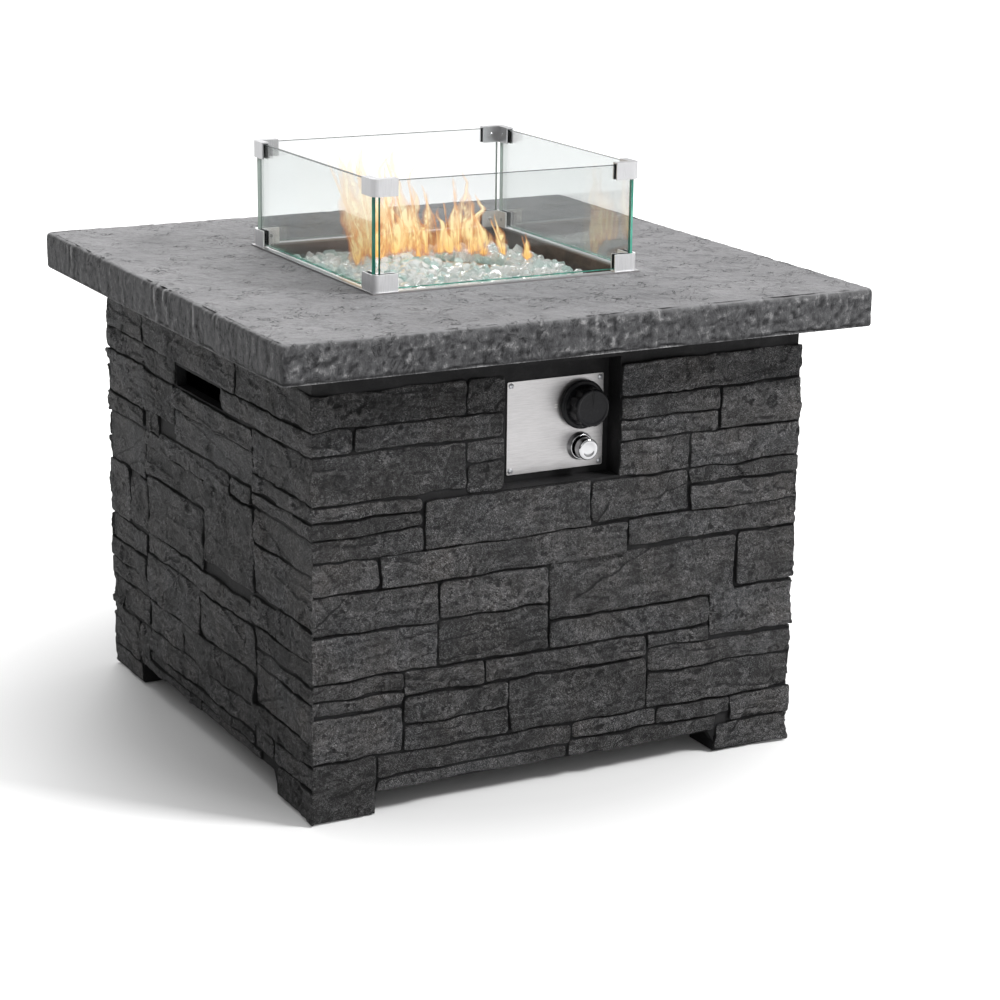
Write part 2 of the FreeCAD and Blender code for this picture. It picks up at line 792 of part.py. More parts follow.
def d_outline(profile, radius, flat):
    """Round outline with one flat, for a stem and the bore that it drives."""
    r = number(radius)
    f = number(flat)
    half = math.sqrt(r * r - f * f)
    start = math.atan2(f, half)
    arc = Part.Arc(Part.Circle(V(0, 0, 0), V(0, 0, 1), r), math.pi - start, 2 * math.pi + start)
    bend = profile.addGeometry(arc)
    flat_edge = profile.addGeometry(Part.LineSegment(V(half, f, 0), V(-half, f, 0)))
    profile.addConstraint(Sketcher.Constraint("Coincident", bend, 2, flat_edge, 1))
    profile.addConstraint(Sketcher.Constraint("Coincident", bend, 1, flat_edge, 2))
    profile.addConstraint(Sketcher.Constraint("Coincident", bend, 3, -1, 1))
    profile.addConstraint(Sketcher.Constraint("Horizontal", flat_edge))
    rule = profile.addConstraint(Sketcher.Constraint("Radius", bend, r))
    bind(profile, f"Constraints[{rule}]", radius)
    rule = profile.addConstraint(Sketcher.Constraint("DistanceY", -1, 1, flat_edge, 1, f))
    bind(profile, f"Constraints[{rule}]", flat)


def build_control_knob():
    owner = turned(
        "control_knob",
        [
            ("0", SKIRT_LOW),
            ("skirt_radius", SKIRT_LOW),
            ("skirt_radius", SKIRT_TOP),
            ("cap_radius", SKIRT_TOP),
            ("cap_radius", KNOB_TOP),
            ("0", KNOB_TOP),
        ],
    )
    place(owner, **outward(KNOB_AT))
    flute = sketch(owner, "flute", lift=f"{KNOB_TOP} + 1")
    circle(flute, "cap_radius + flute_radius - flute_bite", "0", "flute_radius")
    first = pocket(owner, flute, "flute_depth + 1")
    doc.recompute()
    ring = owner.newObject("PartDesign::PolarPattern", "flutes")
    ring.Originals = [first]
    ring.Axis = (flute, ["N_Axis"])
    ring.Angle = 360
    bind(ring, "Occurrences", "flutes")
    owner.Tip = ring
    pointer = sketch(owner, "pointer", lift=KNOB_TOP)
    half = "pointer_width / 2"
    rectangle(pointer, f"-{half}", "pointer_start", half, "pointer_start + pointer_length")
    pocket(owner, pointer, "pointer_depth")
    bore = sketch(owner, "stem_bore", lift=SKIRT_LOW)
    d_outline(bore, "stem_radius + running_gap", "stem_flat + running_gap")
    pocket(owner, bore, "stem_in_knob + running_gap", reverse=True)
    finish(owner, "control_knob")


def build_valve_stem():
    owner = body("valve_stem")
    place(owner, **outward(KNOB_AT))
    start = f"{SKIRT_LOW} - running_gap"
    shaft = sketch(owner, "stem_round", lift="-stem_in_valve")
    circle(shaft, "0", "0", "stem_radius")
    pad(owner, shaft, f"stem_in_valve + {start}")
    tongue = sketch(owner, "stem_tongue", lift=start)
    d_outline(tongue, "stem_radius", "stem_flat")
    pad(owner, tongue, f"{STEM_END} - ({start})")
    finish(owner, "valve_stem")


# The valve is a cast block on the back of the panel, held by two screws under the knob, and
# the flame failure magnet stands on its rear.
VALVE_SCREWS = [(f"{CONTROL_X} {sign} valve_screw_spread", PANEL_FACE, KNOB_Z) for sign in "-+"]


def build_gas_valve():
    block_end = f"{BACK} - valve_length"
    bore_end = "-stem_in_valve - plunger_length - knob_travel - running_gap"
    owner = body("gas_valve")
    place(owner, **outward(KNOB_AT))
    block = sketch(owner, "valve_block", lift=block_end)
    square(block, "valve_width / 2")
    pad(owner, block, "valve_length")
    magnet = sketch(owner, "valve_magnet", lift=f"{block_end} - magnet_length")
    hex_outline(magnet, ("0", "0"), "2 * magnet_radius")
    pad(owner, magnet, "magnet_length")
    bore = sketch(owner, "valve_bore", lift=bore_end)
    circle(bore, "0", "0", "stem_radius + running_gap")
    pocket(owner, bore, f"{BACK} - ({bore_end})", reverse=True)
    threads = sketch(owner, "valve_threads", lift=BACK)
    for sign in "-+":
        hex_outline(threads, (f"0 {sign} valve_screw_spread", "0"), "screw_width")
    pocket(owner, threads, "valve_screw_reach")
    finish(owner, "gas_valve")
    reach = "panel_thick + valve_screw_reach"
    head = hex_bar("valve_screw_head_width", "valve_screw_head")
    screw = hex_bar("screw_width", reach, f"-({reach})").fuse(head)
    screw.rotate(V(0, 0, 0), V(1, 0, 0), 90)
    copies("valve_screws", screw, VALVE_SCREWS)


def build_valve_plunger():
    end = f"{PANEL_FACE} + stem_in_valve + plunger_length"
    finish(
        flat_rod("valve_plunger", "stem_radius", "plunger_length", **outward((CONTROL_X, end, KNOB_Z))),
        "valve_plunger",
    )


# The flared inlet takes the hose of the gas bottle.
def build_gas_inlet():
    start = f"{CONTROL_X} - valve_width / 2"
    thread_at = (f"{start} - inlet_hex_length", PORT_Y, KNOB_Z)
    end_at = (f"{start} - inlet_hex_length - inlet_thread", PORT_Y, KNOB_Z)
    leftward = {"axis": V(0, 1, 0), "angle": -90}
    hexed = hexagon("inlet_hex_bar", "inlet_hex", "inlet_hex_length", (start, PORT_Y, KNOB_Z), **leftward)
    thread = rod("inlet_thread_bar", "inlet_thread_radius", "inlet_thread", thread_at, **leftward)
    bore = flat_rod("inlet_bore_tool", "inlet_bore", "inlet_thread", end_at, V(0, 1, 0), 90)
    finish(cut("gas_inlet_fitting", join("inlet_solid", [hexed, thread]), bore), "gas_inlet_fitting")


# A straight pipe joins an elbow on top of the valve to the jet elbow under the burner. It lies
# at an angle to the sides, so its pieces are drawn along +X and turned together.
PIPE_SPAN = f"sqrt(({CONTROL_X}) ^ 2 + ({PORT_Y}) ^ 2)"


def aimed(shape):
    """Turn a shape drawn along +X from the middle towards the valve, at the pipe's level."""
    shape.rotate(V(0, 0, 0), V(0, 0, 1), math.degrees(math.atan2(number(PORT_Y), number(CONTROL_X))))
    shape.translate(V(0, 0, number(ELBOW_Z)))
    return shape


def lengthwise(across, start, length):
    """Hexagonal bar along +X."""
    bar = hex_bar(across, length)
    bar.rotate(V(0, 0, 0), V(0, 1, 0), 90)
    bar.translate(V(number(start), 0, 0))
    return bar


def block_shape(width, height, x):
    half = number(width) / 2
    tall = number(height)
    return Part.makeBox(2 * half, 2 * half, tall, V(number(x) - half, -half, -tall / 2))


def build_gas_pipe():
    jet_face = "jet_width / 2"
    valve_face = f"{PIPE_SPAN} - elbow_width / 2"
    tip = hex_bar("2 * jet_tip_radius", "jet_tip_length", "jet_length / 2")
    arm = lengthwise("elbow_arm_width", jet_face, "elbow_arm")
    jet = block_shape("jet_width", "jet_length", "0").fuse([tip, arm])
    made("jet_elbow", aimed(jet), "jet_elbow")
    arm = lengthwise("elbow_arm_width", f"{valve_face} - elbow_arm", "elbow_arm")
    rise = f"{ELBOW_Z} - elbow_width / 2 - ({KNOB_Z}) - valve_width / 2"
    foot = hex_bar("elbow_arm_width", rise, f"-elbow_width / 2 - ({rise})")
    foot.translate(V(number(PIPE_SPAN), 0, 0))
    elbow = block_shape("elbow_width", "elbow_width", PIPE_SPAN).fuse([foot, arm])
    made("valve_elbow", aimed(elbow), "valve_elbow")
    start = f"{jet_face} + elbow_arm"
    end = f"{valve_face} - elbow_arm"
    radius = number("pipe_radius")
    inset = number("pipe_nut_length") / 2
    near = number(start) + inset
    pipe = Part.makeCylinder(radius, number(end) - inset - near, V(near, 0, 0), V(1, 0, 0))
    made("gas_pipe", aimed(pipe.copy()), "gas_pipe")
    nuts = []
    for place_on in (start, f"{end} - pipe_nut_length"):
        nuts.append(aimed(lengthwise("pipe_nut_width", place_on, "pipe_nut_length").cut(pipe)))
    made("pipe_nuts", Part.makeCompound(nuts), "pipe_nuts")


# The igniter is a push button in a bright bezel, with its pulse box behind the panel.
IGNITER_AT = (CONTROL_X, PANEL_FACE, IGNITER_Z)
TUBE_END = "-panel_thick - bezel_tube"


def build_igniter():
    bezel = turned(
        "igniter_bezel",
        [
            ("igniter_bore", TUBE_END),
            ("bezel_tube_radius", TUBE_END),
            ("bezel_tube_radius", "0"),
            ("bezel_radius", "0"),
            ("bezel_radius", "bezel_height"),
            ("igniter_bore", "bezel_height"),
        ],
    )
    place(bezel, **outward(IGNITER_AT))
    finish(bezel, "igniter_bezel")
    button_at = (CONTROL_X, f"{PANEL_FACE} + button_sunk", IGNITER_Z)
    button = rod("igniter_button", "button_radius", "button_sunk + button_proud", **outward(button_at))
    finish(button, "igniter_button")
    nut_at = (CONTROL_X, f"{PANEL_FACE} + panel_thick + igniter_nut_length", IGNITER_Z)
    nut = hexagon("igniter_nut_bar", "igniter_nut_width", "igniter_nut_length", **outward(nut_at))
    hole_radius = f"bezel_tube_radius * {WIDEN}"
    hole = flat_rod("igniter_nut_hole", hole_radius, "igniter_nut_length", **outward(nut_at))
    finish(cut("igniter_nut", nut, hole), "igniter_nut")
    case_at = (CONTROL_X, f"{PANEL_FACE} + panel_thick + bezel_tube + igniter_body_length", IGNITER_Z)
    case = flat_rod("igniter_body", "igniter_body_radius", "igniter_body_length", **outward(case_at))
    finish(case, "igniter_body")


# The pan hangs in the opening of the top by its flange, whose edge is folded double.
def build_burner_pan():
    owner = body("burner_pan")
    tub = sketch(owner, "pan_tub", lift=PAN_UNDER)
    square(tub, PAN_OUTER)
    pad(owner, tub, "pan_depth + pan_sheet")
    flange = sketch(owner, "pan_flange_outline", lift=PAN_SEAT)
    square(flange, "pan_flange_side / 2")
    pad(owner, flange, "pan_flange")
    inside = sketch(owner, "pan_inside", lift=PAN_TOP)
    square(inside, PAN_INNER)
    pocket(owner, inside, "pan_depth")
    hole = sketch(owner, "stub_hole", lift=PAN_FLOOR)
    circle(hole, "0", "0", "stub_radius + stub_play")
    pocket(owner, hole, "pan_sheet")
    finish(owner, "burner_pan")


# The burner is a ring of square tube with its ports on top, fed by two arms from a hub whose
# threaded stub goes down through the pan.
def ring_tube_shape(around, low, tall):
    """Ring with flats, of a width to each side of its middle line."""
    outer = flat_bar(f"ring_radius + {around}", tall, low, RING_FLATS)
    return outer.cut(flat_bar(f"ring_radius - {around}", tall, low, RING_FLATS))


def feed_arms(across):
    """Hexagonal tube right across the ring."""
    feed = hex_bar(across, "2 * ring_radius", "-ring_radius")
    feed.rotate(V(0, 0, 0), V(0, 1, 0), 90)
    feed.translate(V(0, 0, number(RING_Z)))
    return feed


def build_burner_ring():
    radius = number("ring_radius")
    ring = ring_tube_shape("ring_tube", f"{RING_Z} - ring_tube", "2 * ring_tube")
    stub_low = f"{PAN_UNDER} - locknut_length - stub_reach"
    hub = flat_bar("hub_radius", "hub_height", PAN_FLOOR)
    stub = flat_bar("stub_radius", f"{PAN_FLOOR} - ({stub_low})", stub_low)
    way = flat_bar("stub_bore", f"{RING_Z} - ({stub_low})", stub_low)
    ports = []
    count = int(number("ring_ports"))
    for k in range(count):
        angle = 2 * math.pi * (k + 0.5) / count
        port = hex_bar("ring_port_width", "ring_tube", f"{RING_Z} + ring_tube - ring_port_depth")
        port.translate(V(math.cos(angle), math.sin(angle), 0) * radius)
        ports.append(port)
    feed = feed_arms("feed_width")
    made("burner_ring", ring.fuse([feed, hub, stub]).cut([way] + ports), "burner_ring")


def build_burner_feed():
    nut_at = ("0", "0", f"{PAN_UNDER} - locknut_length")
    nut = hexagon("locknut_bar", "locknut_width", "locknut_length", nut_at)
    hole = flat_rod("locknut_hole", "stub_radius", "locknut_length", nut_at)
    finish(cut("burner_locknut", nut, hole), "burner_locknut")
    mixer = hexagon("mixer_bar", "mixer_width", "mixer_length", ("0", "0", MIXER_LOW))
    inside = flat_rod("mixer_bore", "stub_radius", "mixer_length", ("0", "0", MIXER_LOW))
    vents = box(
        "mixer_vents",
        ("-vent_width / 2", "-mixer_width", f"{MIXER_LOW} + vent_rim"),
        ("vent_width / 2", "mixer_width", f"{MIXER_LOW} + vent_rim + vent_height"),
    )
    finish(cut("air_mixer", mixer, inside, vents), "air_mixer")


# A small folded bracket beside the ring carries the flame sensor and the spark electrode in
# two notches of its shelf.
def build_sensor():
    y = "-sensor_offset"
    shelf_low = f"{PAN_FLOOR} + sensor_rise"
    near = f"{y} - sensor_rear"
    far = f"{y} + sensor_front"
    left = "-sensor_spread - sensor_edge"
    right = "sensor_spread + sensor_edge"
    foot = box("sensor_foot", (left, near, PAN_FLOOR), (right, far, f"{PAN_FLOOR} + sensor_sheet"))
    back = box("sensor_back", (left, near, PAN_FLOOR), (right, f"{near} + sensor_sheet", shelf_low))
    shelf = box("sensor_shelf", (left, near, shelf_low), (right, far, f"{shelf_low} + sensor_sheet"))
    notches = []
    for name, x, radius in (
        ("probe_notch", "-sensor_spread", "thermocouple_radius"),
        ("electrode_notch", "sensor_spread", "electrode_radius"),
    ):
        low = (f"{x} - {radius}", f"{y} - {radius}", shelf_low)
        notches.append(box(name, low, (f"{x} + {radius}", far, f"{shelf_low} + sensor_sheet")))
    solid = join("sensor_folds", [foot, back, shelf])
    finish(cut("sensor_bracket", solid, *notches), "sensor_bracket")
    start = f"{shelf_low} - probe_below"
    probe = flat_rod("thermocouple", "thermocouple_radius", "probe_length", ("-sensor_spread", y, start))
    finish(probe, "thermocouple")
    at = ("sensor_spread", y, start)
    ceramic = flat_rod("electrode_ceramic", "electrode_radius", "probe_length - sensor_front", at)
    pin = hexagon("electrode_pin", "electrode_tip", "probe_length", at)
    finish(join("electrode_solid", [ceramic, pin]), "spark_electrode")


# A folded plate hangs under the pan by its two flanges and keeps the heat off the bottle.
def build_heat_shield():
    owner = body("heat_shield")
    wall = "shield_width / 2"
    inner = "shield_width / 2 - shield_sheet"
    edge = "shield_width / 2 + shield_flange"
    flange_low = f"{PAN_UNDER} - shield_sheet"
    plate_top = f"{PAN_UNDER} - shield_drop"
    plate_low = f"{plate_top} - shield_sheet"
    profile = sketch(owner, "shield_profile", "XZ_Plane")
    outline(
        profile,
        [
            (f"-({edge})", PAN_UNDER),
            (f"-({inner})", PAN_UNDER),
            (f"-({inner})", plate_top),
            (inner, plate_top),
            (inner, PAN_UNDER),
            (edge, PAN_UNDER),
            (edge, flange_low),
            (wall, flange_low),
            (wall, plate_low),
            (f"-({wall})", plate_low),
            (f"-({wall})", flange_low),
            (f"-({edge})", flange_low),
        ],
    )
    folded = pad(owner, profile, "shield_length")
    folded.Midplane = True
    hole = sketch(owner, "shield_passage", lift=plate_top)
    circle(hole, "0", "0", "shield_hole")
    pocket(owner, hole, "shield_sheet")
    finish(owner, "heat_shield")


# The bed of glass beads fills the pan round the burner and is heaped up in the middle.
def build_fire_glass():
    gap = number("bead_gap")
    half = number(PAN_INNER) - gap
    low = number(PAN_FLOOR) + gap
    high = number(PAN_FLOOR) + number("bead_depth")
    crown = number("bead_crown")
    bed = Part.makeBox(2 * half, 2 * half, high - low, V(-half, -half, low))
    foot = number("bead_heap_foot")
    top = number("bead_heap_top")
    heap = Part.makeWedge(-foot, 0, -foot, -top, -top, foot, crown, foot, top, top)
    heap.rotate(V(0, 0, 0), V(1, 0, 0), 90)
    heap.translate(V(0, 0, high))
    around = f"(ring_tube + {2 * gap})"
    ring = ring_tube_shape(around, f"{RING_Z} - {around}", f"2 * {around}")
    feed = feed_arms(f"feed_width + {2 * gap}")
    hub = flat_bar(f"hub_radius + {2 * gap}", f"{high + crown - low + 1}", f"{low - 1}")
    wide = number("sensor_spread + sensor_edge") + gap
    deep = number("sensor_front + sensor_rear") + 2 * gap
    start = V(-wide, -number("sensor_offset + sensor_rear") - gap, low - 1)
    sensor = Part.makeBox(2 * wide, deep, high + crown - low + 1, start)
    made("fire_glass", bed.fuse(heap).cut([ring, feed, hub, sensor]), "fire_glass")


# Wind guard: four panes held at their corners by channel brackets, four below and four above.
GUARD_LOW = PAN_TOP
GUARD_TOP = f"{PAN_TOP} + guard_height"
PANE_OUT = "guard_side / 2 - bracket_sheet - gasket_thick"
PANE_IN = f"{PANE_OUT} - glass_thick"
CHANNEL_IN = f"{PANE_IN} - gasket_thick - bracket_sheet"
PANE_END = "guard_side / 2 - glass_corner_gap"
CORNER_TURNS = (("rear_right", 0), ("rear_left", 90), ("front_left", 180), ("front_right", 270))


def build_panes():
    low = f"{GUARD_LOW} + bracket_sheet + gasket_thick"
    high = f"{GUARD_TOP} - bracket_sheet - gasket_thick"
    for name, sign in (("rear", ""), ("front", "-")):
        near = f"{sign}({PANE_IN})" if not sign else f"-({PANE_OUT})"
        far = f"{PANE_OUT}" if not sign else f"-({PANE_IN})"
        pane = box(f"glass_pane_{name}", (f"-({PANE_END})", near, low), (PANE_END, far, high))
        finish(pane, f"glass_pane_{name}")
    for name, sign in (("right", ""), ("left", "-")):
        near = f"{sign}({PANE_IN})" if not sign else f"-({PANE_OUT})"
        far = f"{PANE_OUT}" if not sign else f"-({PANE_IN})"
        pane = box(f"glass_pane_{name}", (near, f"-({PANE_END})", low), (far, PANE_END, high))
        finish(pane, f"glass_pane_{name}")


def build_bracket(name, turn, upper):
    """Channel bracket round one corner; the corner at +X and +Y is drawn and then turned."""
    owner = body(name)
    owner.Placement = FreeCAD.Placement(V(0, 0, 0), FreeCAD.Rotation(V(0, 0, 1), turn))
    low = f"{GUARD_TOP} - bracket_height" if upper else GUARD_LOW
    out = "guard_side / 2"
    back = f"{out} - bracket_leg"
    shell = sketch(owner, name + "_outline", lift=low)
    corners = [(back, out), (back, CHANNEL_IN), (CHANNEL_IN, CHANNEL_IN), (CHANNEL_IN, back)]
    outline(shell, corners + [(out, back), (out, out)])
    block = pad(owner, shell, "bracket_height")
    limit = number(out) - 0.1
    round_edges(owner, block, "bracket_round", lambda b: upright(b) and b.XMin > limit and b.YMin > limit)
    channel_out = f"{out} - bracket_sheet"
    channel_in = f"{PANE_IN} - gasket_thick"
    floor = low if upper else f"{low} + bracket_sheet"
    slot = sketch(owner, name + "_channel", lift=floor)
    start = f"{back} - 1"
    corners = [(start, channel_out), (start, channel_in), (channel_in, channel_in), (channel_in, start)]
    bend = f"{channel_out} - bracket_round + bracket_sheet"
    outline(slot, corners + [(channel_out, start), (channel_out, bend), (bend, channel_out)])
    pocket(owner, slot, "bracket_height - bracket_sheet", reverse=True)
    finish(owner, name)


def build_gaskets():
    """Rubber channels that grip the glass in the legs of the brackets."""
    gasket = number("gasket_thick")
    sheet_thick = number("bracket_sheet")
    glass_in = number(PANE_IN)
    glass_wide = number("glass_thick")
    back = number("guard_side / 2 - bracket_leg + gasket_inset")
    length = number(PANE_END) - back
    height = number("bracket_height") - sheet_thick
    lower = number(GUARD_LOW) + sheet_thick
    upper = number(GUARD_TOP) - number("bracket_height")
    gaskets = []
    for floor, groove_low in ((lower, lower + gasket), (upper, upper - gasket)):
        leg = Part.makeBox(length, glass_wide + 2 * gasket, height, V(back, glass_in - gasket, floor))
        leg = leg.cut(Part.makeBox(length, glass_wide, height, V(back, glass_in, groove_low)))
        for shape in (leg, leg.mirror(V(0, 0, 0), V(1, -1, 0))):
            for _, turn in CORNER_TURNS:
                copy = shape.copy()
                copy.rotate(V(0, 0, 0), V(0, 0, 1), turn)
                gaskets.append(copy)
    made("guard_gaskets", Part.makeCompound(gaskets), "guard_gaskets")


# The rear door closes the doorway for the gas bottle and turns on two lift-off hinges.
HINGE_X = f"{OPENING} - door_gap / 2"
HINGE_Y = f"{CORE} + barrel_radius"
HINGE_LEVELS = ("door_low + hinge_inset", "door_low + door_height - hinge_inset - hinge_length")
PULL_LEFT = f"-({DOOR_HALF}) + (door_margin - pull_width) / 2"
PULL_LOW = "door_low + (door_height - pull_length) / 2"
DOOR_MIDDLE = "door_low + door_height / 2"
PULL_SCREWS = [
    (f"{PULL_LEFT} + pull_width / 2", f"{CORE} - wall", f"{DOOR_MIDDLE} {sign} pull_screw_spread")
    for sign in "-+"
]


def build_rear_door():
    half = number(DOOR_HALF)
    core = number(CORE)
    thick = number("wall")
    low = number("door_low")
    high = number("door_low + door_height")
    margin = number("door_margin")
    panel = Part.makeBox(2 * half, thick, high - low, V(-half, core - thick, low))
    start = V(margin - half, core - SLACK, low + margin)
    window = Part.makeBox(2 * (half - margin), 2 * SLACK, high - low - 2 * margin, start)
    solid = panel.fuse(trimmed(stone_face(CONTROL_FACE, 180), window, keep_inside=True))
    holes = []
    for spot in PULL_SCREWS:
        hole = hex_bar("screw_width", "wall")
        hole.rotate(V(0, 0, 0), V(1, 0, 0), -90)
        hole.translate(V(*[number(t) for t in spot]))
        holes.append(hole)
    made("rear_door", solid.cut(holes), "rear_door")


def build_hinges():
    """Frame halves with a solid knuckle and a pin below, and door halves with a bored knuckle."""
    length = number("hinge_length")
    thick = number("hinge_sheet")
    leaf = number("hinge_leaf")
    barrel = number("barrel_radius")
    pin_radius = number("hinge_pin_radius")
    gap = number("knuckle_gap")
    slip = number("running_gap")
    near = barrel + gap
    x = number(HINGE_X)
    y = number(HINGE_Y)
    face = number(CORE)
    frames = []
    leaves = []
    for level in HINGE_LEVELS:
        z = number(level)
        middle = z + length / 2
        span = (length - gap) / 2
        plate = Part.makeBox(leaf - near, thick, length, V(x + near, face, z))
        strap = Part.makeBox(near, thick, span, V(x, face, z))
        knuckle = Part.makeCylinder(barrel, span, V(x, y, z))
        pin = Part.makeCylinder(pin_radius, length - span, V(x, y, z + span))
        frames.append(plate.fuse([strap, knuckle, pin]))
        plate = Part.makeBox(leaf - near, thick, length, V(x - leaf, face, z))
        strap = Part.makeBox(near, thick, span, V(x - near, face, middle + gap / 2))
        knuckle = Part.makeCylinder(barrel, span, V(x, y, middle + gap / 2))
        bore = hex_bar(f"{2 * (pin_radius + slip)}", "hinge_length")
        bore.translate(V(x, y, z))
        leaves.append(plate.fuse([strap, knuckle]).cut(bore))
    made("door_hinge_frames", Part.makeCompound(frames), "door_hinge_frames")
    made("door_hinge_leaves", Part.makeCompound(leaves), "door_hinge_leaves")


def build_door_catch():
    """Magnet on the cast wall beside the doorway and its steel strike on the door."""
    inner = f"{CORE} - wall"
    face = f"{inner} - strike_sheet - magnet_gap"
    low = f"{OPENING_HIGH} - magnet_drop"
    high = f"{low} + magnet_height"
    left = f"-({OPENING}) - magnet_lap"
    magnet = box(
        "magnet_block", (left, f"{face} - magnet_depth", low), (f"{left} + magnet_width", face, high)
    )
    ear = box("magnet_ear", (left, face, low), (f"-({OPENING})", inner, high))
    finish(join("magnet_solid", [magnet, ear]), "door_magnet")
    strike_left = f"-({DOOR_HALF}) + strike_inset"
    strike_right = f"{strike_left} + strike_width"
    strike_face = f"{inner} - strike_sheet"
    strike = box("door_strike", (strike_left, strike_face, low), (strike_right, inner, high))
    finish(strike, "door_strike")


def build_door_pull():
    """Folded strip with a foot on the door, a leg and a lip, held by two screws from inside."""
    right = f"{PULL_LEFT} + pull_width"
    high = f"{PULL_LOW} + pull_length"
    tip = f"{CORE} + pull_reach"
    foot = box("pull_foot", (PULL_LEFT, CORE, PULL_LOW), (right, f"{CORE} + pull_sheet", high))
    leg = box("pull_leg", (f"{right} - pull_sheet", CORE, PULL_LOW), (right, tip, high))
    lip = box(
        "pull_lip_strip", (f"{right} - pull_lip", f"{tip} - pull_sheet", PULL_LOW), (right, tip, high)
    )
    holes = [
        hexagon(f"pull_hole_{i}", "screw_width", "wall + pull_sheet", spot, **ALONG_Y)
        for i, spot in enumerate(PULL_SCREWS)
    ]
    finish(cut("door_pull", join("pull_folds", [foot, leg, lip]), *holes), "door_pull")
    screw = hex_bar("screw_width", "wall + pull_sheet")
    screw = screw.fuse(hex_bar("pull_screw_head_width", "pull_screw_head", "-pull_screw_head"))
    screw.rotate(V(0, 0, 0), V(1, 0, 0), -90)
    copies("door_pull_screws", screw, PULL_SCREWS)


# A pressed tray on the inner ledge of the base carries the gas bottle between four stops.
def build_bottle_tray():
    owner = body("bottle_tray")
    plate = sketch(owner, "tray_plate", lift="foot_ledge")
    square(plate, "tray_side / 2")
    square(plate, "tray_vent")
    pad(owner, plate, "tray_sheet")
    edge = sketch(owner, "tray_edge_ring", lift="foot_ledge")
    square(edge, "tray_side / 2")
    square(edge, "tray_side / 2 - tray_sheet")
    pad(owner, edge, "tray_edge")
    stops = sketch(owner, "tray_stops", lift="foot_ledge")
    near = "tray_stop_offset"
    far = "tray_stop_offset + tray_stop_sheet"
    half = "tray_stop_width / 2"
    rectangle(stops, near, f"-{half}", far, half)
    rectangle(stops, f"-({far})", f"-{half}", f"-{near}", half)
    rectangle(stops, f"-{half}", near, half, far)
    rectangle(stops, f"-{half}", f"-({far})", half, f"-{near}")
    pad(owner, stops, "tray_stop_height")
    finish(owner, "bottle_tray")


build_table_top()
build_top_fixing()
build_base_shell()
build_foot_pads()
build_control_panel()
build_panel_screws()
build_control_knob()
build_valve_stem()
build_gas_valve()
build_valve_plunger()
build_gas_inlet()
build_gas_pipe()
build_igniter()
build_burner_pan()
build_burner_ring()
build_burner_feed()
build_sensor()
build_heat_shield()
build_fire_glass()
build_panes()
for corner_name, corner_turn in CORNER_TURNS:
    build_bracket(f"guard_bracket_lower_{corner_name}", corner_turn, False)
    build_bracket(f"guard_bracket_upper_{corner_name}", corner_turn, True)
build_gaskets()
build_rear_door()
build_hinges()
build_door_catch()
build_door_pull()
build_bottle_tray()

doc.recompute()

faults = []
for item in doc.Objects:
    if "Invalid" in item.State or "Error" in item.State:
        faults.append(f"{item.Label}: {item.State}")
for item in nodes:
    if item.Shape.isNull() or not item.Shape.isValid() or not item.Shape.Solids:
        faults.append(f"{item.Label}: bad shape")
if faults:
    raise RuntimeError("; ".join(faults))

os.makedirs("parts", exist_ok=True)
for item in nodes:
    item.Shape.exportStep(f"parts/{item.Label}.step")
print(len(nodes), "nodes")
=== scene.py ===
import math

import bmesh
import bpy
import numpy as np
from mathutils import Matrix, Vector


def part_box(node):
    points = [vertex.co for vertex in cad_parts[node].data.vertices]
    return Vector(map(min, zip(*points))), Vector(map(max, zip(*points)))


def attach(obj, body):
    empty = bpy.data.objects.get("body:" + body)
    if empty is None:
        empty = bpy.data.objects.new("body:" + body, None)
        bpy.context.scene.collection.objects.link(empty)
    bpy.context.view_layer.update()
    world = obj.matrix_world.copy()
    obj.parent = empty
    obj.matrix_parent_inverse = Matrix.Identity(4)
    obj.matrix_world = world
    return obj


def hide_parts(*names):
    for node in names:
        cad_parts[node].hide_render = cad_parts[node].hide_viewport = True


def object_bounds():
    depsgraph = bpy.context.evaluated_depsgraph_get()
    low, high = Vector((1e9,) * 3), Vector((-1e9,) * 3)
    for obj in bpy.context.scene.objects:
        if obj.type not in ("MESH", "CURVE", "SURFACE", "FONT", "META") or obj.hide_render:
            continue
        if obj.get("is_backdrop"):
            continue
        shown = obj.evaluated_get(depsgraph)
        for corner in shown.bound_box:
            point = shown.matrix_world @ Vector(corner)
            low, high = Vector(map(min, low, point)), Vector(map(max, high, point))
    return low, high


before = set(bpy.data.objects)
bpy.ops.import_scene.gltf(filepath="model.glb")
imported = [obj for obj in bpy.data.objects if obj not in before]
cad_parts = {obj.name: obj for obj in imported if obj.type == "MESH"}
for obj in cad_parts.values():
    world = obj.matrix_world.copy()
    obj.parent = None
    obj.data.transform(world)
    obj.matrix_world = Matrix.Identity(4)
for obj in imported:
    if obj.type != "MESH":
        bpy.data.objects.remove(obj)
cad_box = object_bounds()

# Gas fire pit table: the looks of its cast ledge stone, slate top, wind guard, beads, controls
# and flames. Shapes are worked out in millimetres and become metres when a mesh is made.
MM = 0.001


def extent(node):
    """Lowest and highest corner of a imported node, in millimetres."""
    low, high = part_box(node)
    return np.array(low) / MM, np.array(high) / MM


